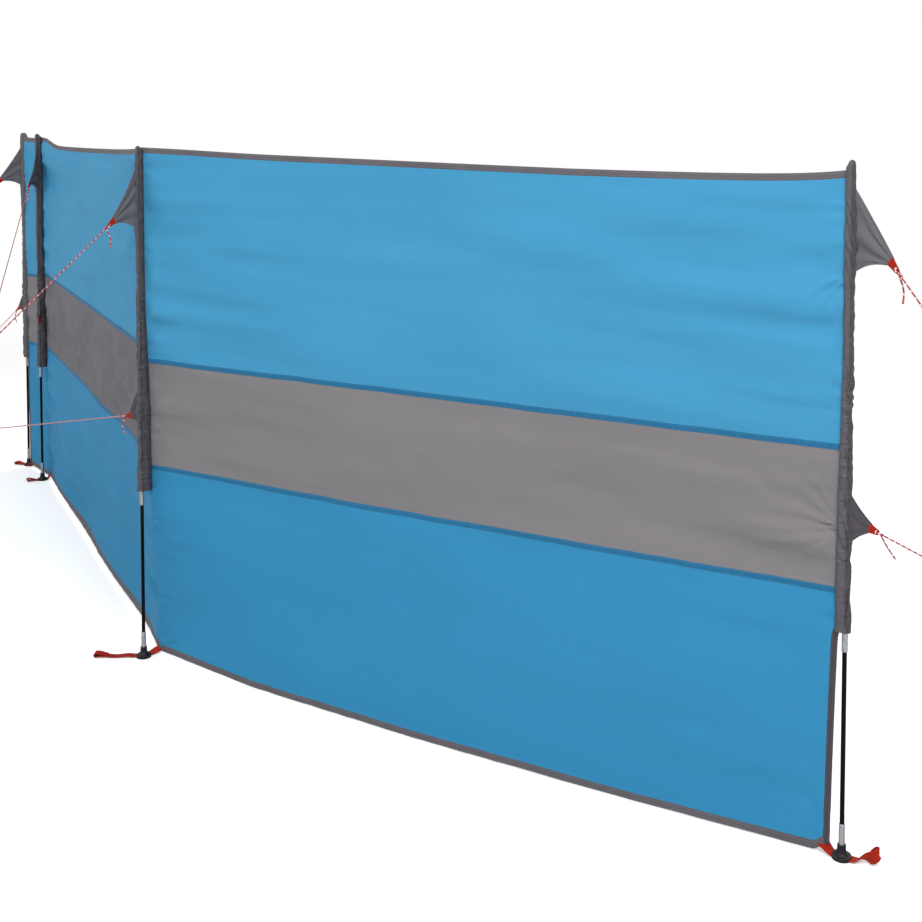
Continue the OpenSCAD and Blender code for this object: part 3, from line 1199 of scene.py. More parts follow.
    def folds(self, s: np.ndarray, z: np.ndarray) -> np.ndarray:
        """Height of the cloth's folds out of its plane.

        Args:
            s: Places along the bay.
            z: Heights.

        Returns:
            The height to the front.
        """
        low, under, over, high = self.lines(s)
        beside = np.minimum(s, self.length - s)
        seams = np.minimum(np.abs(z - under), np.abs(z - over))
        hems = np.minimum(np.abs(z - high), np.abs(z - low))
        calm = 1 - 0.75 * np.exp(-np.minimum(seams, hems) / 0.06)
        bow = self.bulge * np.sin(math.pi * self.share(s)) * smooth(0.9, 0.0, z)
        loose = sum(wave.at(s, z, self.seed, beside) for wave in LOOSE_WAVES)
        loose = loose * self.folding * calm * (1 - self.taut_low * smooth(0.62, 0.42, z))
        tight = GATHERS.at(s, z, self.seed, beside)
        pucker = SEAM_PUCKER.at(s, z, self.seed, seams) + HEM_PUCKER.at(s, z, self.seed, hems)
        crush = self.crushed(s, z) * smooth(0.0, 0.16, beside) * calm
        fans = sum((pull.height(s, z) for pull in self.pulls), np.zeros_like(s))
        return bow + (loose + tight + pucker) * self.slack(s, z) + crush + fans

    def crushed(self, s: np.ndarray, z: np.ndarray) -> np.ndarray:
        """Height of the sharp crumples, which only the band has.

        Args:
            s: Places along the bay.
            z: Heights.

        Returns:
            The height to the front.
        """
        low, high = self.band[0]
        on_band = smooth(low - 0.05, low + 0.06, z) * smooth(high + 0.05, high - 0.06, z)
        return self.crumple * on_band * (1 - 2 * np.abs(CRUMPLES.at(s, z, self.seed)))

    def slack(self, s: np.ndarray, z: np.ndarray) -> np.ndarray:
        """Share of the folds that is left beside the bound ends, which stand straight.

        Args:
            s: Places along the bay.
            z: Heights.

        Returns:
            The share.
        """
        share = np.ones_like(s)
        for end, distance in ((self.left, s), (self.right, self.length - s)):
            if end.kind is EndKind.EDGE:
                near = np.exp(-np.clip(distance - 0.03, 0, None) / 0.08)
                share = share - 0.85 * near * smooth(0.52, 0.44, z)
        return share

    def surface(self, s: np.ndarray, z: np.ndarray, lift: np.ndarray | float = 0.0) -> np.ndarray:
        """Places on the cloth, or a little off it.

        Args:
            s: Places along the bay.
            z: Heights.
            lift: Distance to the front of the cloth.

        Returns:
            The places, three numbers each.
        """
        out = self.folds(s, z) + lift
        at = np.array([*self.start, 0.0]) + s[..., None] * along(self.heading)
        at = at + out[..., None] * front(self.heading)
        at = at + self.left.moved(s, z) + self.right.moved(self.length - s, z)
        at[..., 2] = z
        return at

    def columns(self) -> np.ndarray:
        """Sets the columns of points, closer beside the ends.

        Returns:
            Their shares of the bay's length.
        """
        count = max(36, int(self.length / self.column_step))
        even = np.linspace(0, 1, count)
        return even - 0.05 * np.sin(2 * math.pi * even) * min(2.0, 2 * self.length)

    def strip(self, low: np.ndarray, high: np.ndarray, thickness: float,
              is_tape: bool = False) -> Shape:
        """Closed strip of the cloth between two lines of height.

        Args:
            low: Height of its lower side at each column.
            high: Height of its upper side at each column.
            thickness: Its thickness.
            is_tape: Whether it thins out at its two sides and its chart counts from its middle.

        Returns:
            The strip.
        """
        rows = self.tape_rows if is_tape else int(np.max(high - low) / self.step) + 1
        share = np.linspace(0, 1, rows)[:, None]
        z = low + (high - low) * share
        left, right = self.ends(z)
        s = left + (right - left) * self.columns()
        body = thickness / 2 * np.ones_like(z) * (thinned(share) if is_tape else 1.0)
        level = z - (low + high) / 2 if is_tape else z
        return shell(self.surface(s, z, body), self.surface(s, z, -body), np.stack([s, level], -1))

    def build(self) -> None:
        """Builds the bay's panels, band, seams and hems."""
        s = self.columns() * self.length
        low, under, over, high = self.lines(s)
        hem = self.hem_height(s)
        body = f"{self.name}_bay_"
        parts = (
            ("upper_panel", over, high - self.top_hem * 0.5, UPPER_CLOTH),
            ("band", under, over, self.band_finish),
            ("lower_panel", low + hem * 0.5, under, LOWER_CLOTH),
        )
        for part, start, stop, finish in parts:
            shape = self.strip(start, stop, self.cloth)
            self.pieces[part] = add_piece(body + part + "_cloth", shape, finish, [body + part])
        trims = (
            ("upper_hem", high - self.top_hem, high, HEM_TAPE, [body + "upper_hem"]),
            ("lower_hem", low, low + hem, HEM_TAPE, [body + "lower_hem"]),
            ("upper_seam", over - TAPE_LAP, over + self.seam, FELLED_SEAM, []),
            ("lower_seam", under - self.seam, under + TAPE_LAP, FELLED_SEAM, []),
        )
        for part, start, stop, finish, stands_for in trims:
            shape = self.strip(start, stop, self.doubled, is_tape=True)
            self.pieces[part] = add_piece(body + part + "_tape", shape, finish, stands_for)

    def build_binding(self, node: str) -> None:
        """Builds the binding of a free end below its sleeve.

        Args:
            node: The solid that it stands for.
        """
        on_right = self.right.kind is EndKind.EDGE
        low = float(self.bottom(np.array(self.length if on_right else 0.0))) + TAPE_LAP
        z = np.linspace(low, SLEEVE_LOW + self.tucked, self.binding_rows)
        left, right = self.ends(z)
        share = np.linspace(0, 1, self.tape_rows)[:, None]
        start = right - self.binding if on_right else left - TAPE_LAP
        s = start + (self.binding + TAPE_LAP) * share
        heights = np.broadcast_to(z, s.shape)
        body = self.bound * thinned(share) * np.ones_like(s)
        chart = np.stack([heights, np.broadcast_to((share - 0.5) * self.binding, s.shape)], -1)
        grids = self.surface(s, heights, body), self.surface(s, heights, -body), chart
        shape = shell(*(np.swapaxes(grid, 0, 1) for grid in grids))
        add_piece(node + "_tape", shape, EDGE_TAPE, [node])

    def declare(self, holders: Sequence[str]) -> None:
        """Works out the heights that the panels were cut to, with their hems and seams, and leaves
        them unused.

        Args:
            holders: Names of the pieces that hold the bay; not used.
        """
        low, under, over, high = self.lines(self.columns() * self.length)
        cuts = (
            ("upper_panel", high - over, ("upper_hem", "upper_seam")),
            ("band", over - under, ()),
            ("lower_panel", under - low, ("lower_hem", "lower_seam")),
        )


class PoleKind(Enum):
    """Which way the cloth leaves a pole's sleeve."""

    RIGHT_END = "cloth on its left"
    MIDDLE = "cloth behind it"
    LEFT_END = "cloth on its right"


@dataclass(frozen=True)
class Sleeve:
    """Flat cloth tube round a pole.

    Attributes:
        seed: Seed of its creases.
        girth: Radius of the tube about the rod.
        flare: How much wider it is at its lower end.
        reach: Distance to the line where it is sewn to the cloth, at its top and at its lower end.
        wall: Thickness of its wall.
        least: Smallest radius of a ring's plain part and of a crease.
        cut: Width and length of the cloth that it is sewn from.
        chart_girth: Chart width of one turn.
        sides: Points to a ring.
        rows: Rings of the outer side.
        bare_rows: Rings at the top that the inner side goes without.
    """

    seed: int
    girth: float = 0.0084
    flare: float = 0.002
    reach: tuple[float, float] = (0.0112, 0.0205)
    wall: float = 0.0011
    least: tuple[float, float] = (0.0078, 0.0064)
    cut: tuple[float, float] = (0.095, 1.0)
    chart_girth: float = 0.08
    sides: int = 56
    rows: int = 290
    bare_rows: int = 6

    def plain(self, turn: np.ndarray, z: np.ndarray, nose: np.ndarray) -> np.ndarray:
        """Radius of the uncreased tube, drawn out to the cloth.

        Args:
            turn: Turns from the direction to the cloth.
            z: Heights.
            nose: Share by which the tube is drawn out there.

        Returns:
            The radius.
        """
        girth = self.girth + self.flare * np.exp((SLEEVE_LOW - z) / 0.16)
        girth = np.maximum(girth + 0.0022 * ripple(z / 0.055, 0.5, self.seed), self.least[0])
        tip = self.reach[0] + (self.reach[1] - self.reach[0]) * smooth(1.10, 0.60, z)
        tip = tip * (1 + 0.06 * ripple(z / 0.06, 0.5, self.seed + 1))
        flank = np.abs(np.sin(turn)) * np.clip(np.cos(turn), 0, 1)
        return girth + (tip - girth) * nose + flank * 0.004

    def creases(self, turn: np.ndarray, z: np.ndarray) -> np.ndarray:
        """Height of the creases and gathers, which are fewer up above.

        Args:
            turn: Turns from the direction to the cloth.
            z: Heights.

        Returns:
            The height out of the tube.
        """
        x, y = np.cos(turn), np.sin(turn)
        broad = 0.0030 * ripple(x * 2.2 + z / 0.12, y * 2.2 + z / 0.035, self.seed + 2)
        fine = 0.0017 * ripple(x * 3.5 - z / 0.05, y * 3.5 + z / 0.014, self.seed + 3)
        waver = 4.0 * ripple(turn * 0.9, z / 0.04, self.seed + 5)
        arcs = np.sin(z / 0.0040 + 2.2 * np.cos(turn - 0.8) + waver)
        gathers = np.clip(ripple(z / 0.045, 0.5, self.seed + 6) + 0.15, 0, None)
        gathers = gathers * smooth(0.58, 0.70, z)
        busy = 0.35 + 0.65 * smooth(1.20, 0.95, z)
        return (broad + fine + 0.0019 * gathers * arcs) * busy

    def shape(self, at: np.ndarray, out: np.ndarray, face: float,
              flaps: Sequence["Flap"]) -> Shape:
        """Builds the tube, drawn out to the cloth on one side.

        Args:
            at: Plan of the pole.
            out: Direction from the pole to the cloth.
            face: Turn from that direction to the middle of the paler strip, which the painted
                shade on the sides leaves, in degrees.
            flaps: The flaps that pull on it.

        Returns:
            The closed tube.
        """
        beside = left_of(out)
        heights = np.linspace(SLEEVE_LOW, SLEEVE_HIGH, self.rows)
        turns = np.linspace(-math.pi, math.pi, self.sides, endpoint=False) + math.radians(face)
        turn, z = np.meshgrid(turns, heights)
        nose = np.clip(np.cos(turn), 0, 1) ** 2.4
        radial, crease = self.plain(turn, z, nose), self.creases(turn, z)
        slant = turn * 5 + z / 0.007 + self.seed + 2 * ripple(turn, z / 0.03, self.seed + 4)
        for flap in flaps:
            near = np.exp(-((z - flap.low - 0.35 * flap.height) / (0.55 * flap.height)) ** 2)
            way = towards(flap.bearing)
            lobe = np.clip(np.cos(turn - math.atan2(way @ beside, way @ out)), 0, 1) ** 6
            radial = radial + near * lobe * 0.034 * flap.height
            crease = crease + near * 0.0021 * np.sin(slant)
        radial = np.maximum(radial + crease * (1 - 0.8 * nose), self.least[1])
        closing = smooth(CLOTH_HIGH - 0.004, SLEEVE_HIGH, z) * (0.25 + 0.45 * nose)
        radial = radial * (1 - closing) * (1 - 0.5 * smooth(SLEEVE_HIGH - 0.003, SLEEVE_HIGH, z))
        flat = np.cos(turn)[..., None] * out + np.sin(turn)[..., None] * beside
        middle = at + z[..., None] * UP
        inner = middle + (radial - self.wall)[..., None] * flat
        outer = middle + radial[..., None] * flat
        stop = self.rows - self.bare_rows
        loop = np.concatenate([inner[stop::-1], outer])
        lengths = np.concatenate([2 * SLEEVE_LOW - heights[stop::-1], heights])
        return skin(loop, lengths, self.chart_girth)


@dataclass(frozen=True)
class Flap:
    """Guy flap on a sleeve, narrow at its tip, with a webbing tab there.

    Attributes:
        bearing: Bearing of the flap, in degrees.
        low: Height of its lower end.
        height: Its height along the sleeve.
        out: Distance from the pole to its tip.
        seed: Seed of its folds.
        slope: How steeply its guy pulls down, in degrees.
        folds: Folds between its two sides.
        root: Distance from the pole to where it is sewn on.
        tip_rise: Height of the tip above the flap's lower end.
        tip_width: Width of the tip.
        hem: Share of the height that each turned edge takes.
        cloth: Thickness of its cloth.
        tab_root: Distance from the tab's eye back to the flap's tip.
        tab_len: Distance from the flap's reach to the tab's eye.
        tab_width: Width of the tab at the flap.
        tab_end: Half of the tab's width at its eye.
        tab_nose: Distance from the eye to the tab's end.
        tab_thickness: Thickness of the tab.
        eye: Radius of the eye.
        sides: Points to a ring of the tab.
    """

    bearing: float
    low: float
    height: float
    out: float
    seed: int
    slope: float = 46.0
    folds: float = 3.4
    root: float = 0.0085
    tip_rise: float = 0.016
    tip_width: float = 0.021
    hem: float = 0.055
    cloth: float = 0.0010
    tab_root: float = 0.017
    tab_len: float = 0.014
    tab_width: float = 0.021
    tab_end: float = 0.0066
    tab_nose: float = 0.0082
    tab_thickness: float = 0.0028
    eye: float = 0.0035
    sides: int = 56

    @property
    def tip_z(self) -> float:
        """Height of the middle of the tip."""
        return self.low + self.tip_rise

    @property
    def cut(self) -> tuple[float, float]:
        """Width and height of the rectangle that the flap is cut from."""
        back = self.tab_root * math.cos(math.radians(self.slope))
        return self.out + self.tab_len - back, self.height

    @property
    def cut_area(self) -> float:
        """Area of the flap's four-cornered cut."""
        return self.cut[0] * (self.height + self.tip_width) / 2

    def eye_at(self, at: np.ndarray) -> np.ndarray:
        """Place of the tab's eye for a pole's plan."""
        return at + towards(self.bearing) * (self.out + self.tab_len) + self.tip_z * UP

    def pull(self) -> tuple[np.ndarray, np.ndarray]:
        """How the guy pulls at the tip.

        Returns:
            The direction of the pull, and the one across the tip in the flap.
        """
        level, steep = (turn(math.radians(self.slope)) for turn in (math.cos, math.sin))
        way = towards(self.bearing)
        return level * way - steep * UP, steep * way + level * UP

    def surface(self, at: np.ndarray, u: np.ndarray, v: np.ndarray, lift: float) -> np.ndarray:
        """Places on the flap.

        Args:
            at: Plan of the pole.
            u: Share of the way from the sleeve to the tip.
            v: Share of the way up.
            lift: Distance off the middle of the cloth.

        Returns:
            The places, three numbers each.
        """
        way = towards(self.bearing)
        along_pull, across = self.pull()
        tip = self.eye_at(at) - along_pull * self.tab_root
        u3, v3 = u[..., None], v[..., None]
        inner = at + way * self.root + (self.low + self.height * v3) * UP
        outer = tip + across * (v3 - 0.5) * self.tip_width
        up, waist = np.clip(v, 0, 1), np.sin(math.pi * u)
        turns = self.folds * up**0.75 + 0.3 * ripple(v * 5, u * 1.5, self.seed)
        fan = np.sin(2 * math.pi * turns + self.seed)
        body = np.sin(math.pi * up) * (1 - 0.6 * v) + 0.1
        depth = 0.040 * (1 - u) ** 0.7 * (u + 0.03) ** 0.4 * body
        crease = 0.008 * ripple(v * 14, u * 2.5, self.seed + 40) * (1 - u) ** 0.5 * waist
        bow = 0.06 * waist * (v - 0.45)
        edges = np.clip(1 - 3 * v, 0, 1) ** 2 - 0.5 * np.clip(3 * v - 2, 0, 1) ** 2
        aside = self.height * (fan * depth + crease + bow) + lift
        place = inner + (outer - inner) * u3 + aside[..., None] * left_of(way)
        place[..., 2] += self.height * 0.045 * waist * edges
        return place

    def cloth_shape(self, at: np.ndarray) -> Shape:
        """Builds the flap's cloth with its turned edges and doubled tip.

        Args:
            at: Plan of the pole.

        Returns:
            The closed forms as one.
        """
        layers = (
            ((0.0, 1.0, 30), (0.0, 1.0, 44), 1.0),
            ((0.0, 1.0, 30), (1.0 - self.hem, 1.004, 5), 2.1),
            ((0.0, 1.0, 30), (-0.004, self.hem, 5), 2.1),
            ((0.72, 1.0, 12), (0.0, 1.0, 16), 1.9),
        )
        sheets = []
        for columns, rows, thick in layers:
            u, v = np.meshgrid(np.linspace(*columns), np.linspace(*rows))
            near, far = (self.surface(at, u, v, side * thick * self.cloth / 2) for side in (-1, 1))
            sheets.append(shell(near, far, np.stack([u * self.out, v * self.height], -1)))
        return Shape.joined(sheets)

    def tab_reach(self, angle: float) -> float:
        """Distance from the eye to the tab's outline.

        Args:
            angle: Angle from the way of the pull, in radians.

        Returns:
            The distance.
        """
        x, y = math.cos(angle), math.sin(angle)
        root = -self.tab_root - 0.005
        slope = (self.tab_width / 2 - self.tab_end) / root
        limits = [root / x] if x < -1e-6 else []
        for below in (y - slope * x, -y - slope * x):
            if below > 1e-6:
                limits.append(self.tab_end / below)
        if x > 0.35:
            limits.append(self.tab_nose)
        return min(limits)

    def tab_shape(self, at: np.ndarray) -> Shape:
        """Builds the tapered webbing tab round its eye.

        Args:
            at: Plan of the pole.

        Returns:
            The closed tab.
        """
        turn = np.linspace(0, 2 * math.pi, self.sides, endpoint=False)
        outer = np.array([self.tab_reach(angle) for angle in turn])
        shares = np.array([0.0, 0.12, 0.45, 0.85, 0.96, 1.0])
        bodies = np.array([0.55, 0.95, 1.0, 1.0, 0.9, 0.45]) * self.tab_thickness / 2
        shares = np.append(shares, shares[::-1])[:, None]
        bodies = np.append(-bodies, bodies[::-1])[:, None, None]
        way, across = self.pull()
        centre = self.eye_at(at)
        spokes = np.cos(turn)[:, None] * way + np.sin(turn)[:, None] * across
        reach = self.eye + (outer - self.eye) * shares
        rings = centre + reach[..., None] * spokes + bodies * np.cross(across, way)
        points = rings.reshape(-1, 3)
        place = np.arange(len(points)).reshape(-1, self.sides)
        follow, beside = np.roll(place, -1, axis=0), np.roll(place, -1, axis=1)
        corner = np.roll(beside, -1, axis=0)
        faces = np.stack([place, beside, corner, follow], -1).reshape(-1, 4)[:, ::-1]
        flat = points - centre
        chart = np.stack([flat @ way, flat @ across], -1)
        return Shape(points, faces.tolist(), chart[faces.ravel()])


@dataclass(frozen=True)
class Guy:
    """Taut cord from a tab's eye to a ground peg and back to its slider.

    Attributes:
        flap: The flap that it pulls on.
        out: Distance from the pole to its peg.
        tail: How far its loose tail swings outward, as a share of straight down.
        radius: Radius of the cord.
        knot: Length of a knot.
        loop_width: Half of the width of the loop through the eye.
        tab_rim: Distance from the eye to the tab's end.
        peg_side: Distance from the peg's middle to the cord's.
        seat: Clearance between the cord and what it passes.
        slider_back: Distance from the peg to the slider.
        slider_len: Length of the slider.
        tail_len: Length of the loose tail.
    """

    flap: Flap
    out: float
    tail: float
    radius: float = 0.00175
    knot: float = 0.009
    loop_width: float = 0.0052
    tab_rim: float = 0.0085
    peg_side: float = 0.00505
    seat: float = 0.0003
    slider_back: float = 0.350
    slider_len: float = 0.036
    tail_len: float = 0.066

    def shape(self, at: np.ndarray) -> Shape:
        """Builds the cord with its eye loop, knots, tail and peg loop.

        Args:
            at: Plan of the pole.

        Returns:
            The closed forms as one.
        """
        eye = self.flap.eye_at(at)
        way = towards(self.flap.bearing)
        peg = at + way * self.out + PEG_GRIP * UP
        run = float(np.linalg.norm(peg - eye))
        down = (peg - eye) / run
        side = left_of(way)
        above = np.cross(down, side)

        def spot(x: np.ndarray, y: np.ndarray, z: np.ndarray) -> np.ndarray:
            """Turns places along, beside and above the cord into places in the frame."""
            x, y, z = np.broadcast_arrays(*(np.asarray(one, float) for one in (x, y, z)))
            return eye + x[..., None] * down + y[..., None] * side + z[..., None] * above

        inner = self.flap.eye - self.radius - self.seat
        knot_at = self.tab_rim + 2 * self.radius + self.seat + self.knot / 2
        slider_end = run - self.slider_back - self.slider_len / 2
        stop_at = slider_end - self.knot / 2 - self.seat
        turn = np.linspace(-0.82 * math.pi, 0.82 * math.pi, 36)
        long = (knot_at - inner) / 2
        loop = spot(inner + long - long * np.cos(turn), self.loop_width * np.sin(turn),
                    0.0006 * np.sin(2 * turn))
        around = np.linspace(0, math.pi, 15)[1:-1]
        strand = np.concatenate([
            spot(np.linspace(knot_at, run, 40), 0.0, 0.0),
            spot(run + self.peg_side * np.sin(around), self.peg_side * (np.cos(around) - 1), 0.0),
            spot(np.linspace(run, stop_at, 14), -2 * self.peg_side, 0.0),
        ])
        tail = spot(knot_at, 0.0, -0.003) + self.tail_path(way, side)
        end = np.array([tail[-1], tail[-1] + (tail[-1] - tail[-2]) * 1.2])
        return Shape.joined([
            tube(loop, self.radius),
            tube(strand, self.radius),
            tube(tail, self.radius * 1.05),
            self.knot_shape(spot, knot_at, 0.0),
            self.knot_shape(spot, stop_at, -2 * self.peg_side),
            tube(end, self.radius * 1.35),
        ])

    def tail_path(self, way: np.ndarray, side: np.ndarray) -> np.ndarray:
        """Path of the loose tail from its knot.

        Args:
            way: Level direction from the pole to the peg.
            side: Level direction beside it.

        Returns:
            The path's points.
        """
        t = np.linspace(0, 1, 18)[:, None]
        swing = self.tail * (1 - 0.35 * t) * way - (1 - 0.25 * t) * UP
        return self.tail_len * t * swing + 0.005 * np.sin(1.2 * math.pi * t) * side

    def knot_shape(self, spot: Callable[..., np.ndarray], x: float, y: float) -> Shape:
        """Builds an overhand knot, drawn tight.

        Args:
            spot: Turns places along the cord into places in the frame.
            x: Place along the cord.
            y: Place beside it.

        Returns:
            The closed knot.
        """
        t = np.linspace(0.12, 2 * math.pi - 0.12, 64)
        size = self.knot / 6.4
        return tube(spot(
            x + size * (np.sin(t) + 2 * np.sin(2 * t)) * 0.8,
            y + size * (np.cos(t) - 2 * np.cos(2 * t)) * 0.72,
            -size * np.sin(3 * t) * 1.05,
        ), self.radius * 0.92)


@dataclass(frozen=True)
class Strap:
    """Webbing strap threaded through a foot, from the cloth to a peg loop.

    Attributes:
        bearing: Bearing of the leg with the loop, in degrees.
        out: Distance from the pole to the middle of the loop.
        back_bearing: Bearing of the leg to the cloth, in degrees.
        back: How far that leg reaches.
        twist: Turn of the webbing between the foot and the loop, in degrees.
        kick: How far the end of the loop stands up.
        back_lean: Turn of the webbing between the foot and the cloth, in degrees.
        rise: How far the leg to the cloth climbs.
        loop_radius: Radius of the loop.
        lap: How far the loop's end runs back over the leg.
        width: Width of the webbing.
        thickness: Its thickness.
        middle: Height of its middle in the foot.
    """

    bearing: float
    out: float
    back_bearing: float
    back: float
    twist: float = 0.0
    kick: float = 0.0
    back_lean: float = 0.0
    rise: float = 0.016
    loop_radius: float = 0.0048
    lap: float = 0.034
    width: float = 0.0245
    thickness: float = 0.0018
    middle: float = 0.0039

    def shape(self, at: np.ndarray) -> Shape:
        """Builds both legs of the strap for a pole's plan."""
        return Shape.joined([self.back_leg(at), self.loop_leg(at)])

    def leg(self, path: np.ndarray, way: np.ndarray, lean: np.ndarray, off: np.ndarray) -> Shape:
        """Builds a leg of leaning webbing.

        Args:
            path: Points of its line on the ground, with the heights that it climbs to.
            way: Level direction of the leg.
            lean: Lean of the webbing at each point, in radians.
            off: Distance out of the webbing at each point.

        Returns:
            The closed leg.
        """
        level, steep = np.cos(lean)[:, None], np.sin(lean)[:, None]
        side = left_of(way)
        path = path + off[:, None] * (level * UP - steep * side)
        path = path + (self.middle + np.abs(steep) * self.width / 2) * UP
        return ribbon(path, level * side + steep * UP, self.width, self.thickness)

    def back_leg(self, at: np.ndarray) -> Shape:
        """Builds the leg from the foot to the cloth's lower edge.

        Args:
            at: Plan of the pole.

        Returns:
            The closed leg.
        """
        way = towards(self.back_bearing)
        x = np.linspace(0.0, self.back, 24)
        lean = math.radians(self.back_lean) * smooth(0.012, 0.8 * self.back, x)
        climb = self.rise * smooth(0.02, self.back, x)
        return self.leg(at + x[:, None] * way + climb[:, None] * UP, way, lean, 0 * x)

    def loop_leg(self, at: np.ndarray) -> Shape:
        """Builds the leg that ends in the peg loop.

        Args:
            at: Plan of the pole.

        Returns:
            The closed leg.
        """
        way = towards(self.bearing)
        lean_end, radius = math.radians(self.twist), self.loop_radius
        start, stop = 0.024, self.out - 0.002
        x = np.linspace(0.001, self.out, 56)
        lean = lean_end * smooth(start, stop, x)
        wave = 0.0016 * np.sin((x - start) / 0.012) * smooth(start, start + 0.02, x)
        wave = wave * (self.twist == 0)
        turn = np.linspace(-math.pi / 2, math.pi / 2, 15)[1:]
        back = np.linspace(0, 1, 14)[1:]
        back_x = self.out - self.lap * back
        sewn = self.thickness * 1.15
        bend = sewn + (2 * radius - sewn) * (1 - smooth(0, 1, back))
        out_x = np.concatenate([x, self.out + radius * np.cos(turn), back_x])
        off = np.concatenate([0 * x, radius * (1 + np.sin(turn)), bend])
        flat = np.concatenate([wave, 0 * turn, np.interp(back_x, x, wave)])
        lean = np.concatenate([lean, 0 * turn + lean_end, np.interp(back_x, x, lean)])
        climb = flat + self.kick * smooth(self.out - 0.012, self.out + 0.005, out_x)
        return self.leg(at + out_x[:, None] * way + climb[:, None] * UP, way, lean, off)


# Turns to the middle of each kind of sleeve's pale strip, beside which shade is painted.
FACE_TURNS = {PoleKind.RIGHT_END: 50.0, PoleKind.MIDDLE: 184.0, PoleKind.LEFT_END: 320.0}


@dataclass
class Pole:
    """One pole with its sleeve, strap, flaps and guys.

    Attributes:
        name: Its name.
        at: Plan of its foot, as a point on the ground.
        heading: Its heading, in degrees.
        kind: Which way the cloth leaves it.
        strap: Its strap.
        sleeve: Its sleeve.
        flaps: Its upper and lower flap.
        guys: Its guys.
    """

    name: str
    at: np.ndarray
    heading: float
    kind: PoleKind
    strap: Strap
    sleeve: Sleeve
    flaps: tuple[Flap, Flap]
    guys: tuple[Guy, ...]

    def to_cloth(self) -> np.ndarray:
        """Where the cloth is that the pole holds.

        Returns:
            The direction from the pole.
        """
        if self.kind is PoleKind.MIDDLE:
            return -front(self.heading)
        sign = -1 if self.kind is PoleKind.RIGHT_END else 1
        return sign * along(self.heading)

    def build(self) -> list[Shape]:
        """Builds and dresses what the pole carries.

        Returns:
            The forms of its tabs, which share one piece with those of the other poles.
        """
        at, body = self.at, f"{self.name}_pole_"
        shape = self.sleeve.shape(at, self.to_cloth(), FACE_TURNS[self.kind], self.flaps)
        finish = SHADED_MIDDLE_SLEEVE if self.kind is PoleKind.MIDDLE else SLEEVE_CLOTH
        sleeve = add_piece(body + "sleeve_cloth", shape, finish, [body + "sleeve"])
        self.sleeve.cut
        body + "rod"
        levels = (("upper", FLAP_CLOTH, [body + "flaps"]), ("lower", SHADED_LOW_FLAP_CLOTH, []))
        for flap, (level, cloth, stands_for) in zip(self.flaps, levels):
            name = f"{body}{level}_flap_cloth"
            piece = add_piece(name, flap.cloth_shape(at), cloth, stands_for)
            flap.cut
            flap.cut_area
        add_piece(body + "strap_webbing", self.strap.shape(at), RED_WEBBING, [body + "strap"])
        cords = Shape.joined([guy.shape(at) for guy in self.guys])
        add_piece(body + "guys_cord", cords, GUY_CORD, [body + "guys"])
        rigid = {"rod": ROD_FINISH, "ferrules": FERRULE_METAL, "foot": FOOT_PLASTIC}
        for part, finish in rigid.items():
            dress_node(body + part, finish)
        return [flap.tab_shape(at) for flap in self.flaps]


def dress_node(node: str, finish: Finish) -> None:
    """Gives a solid of the frame its finish.

    Args:
        node: Its name.
        finish: Its finish.
    """
    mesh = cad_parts[node].data
    mesh.materials.clear()
    mesh.materials.append(finish.material())
    LOG.info("%s: dressed as %s", node, finish.slot)


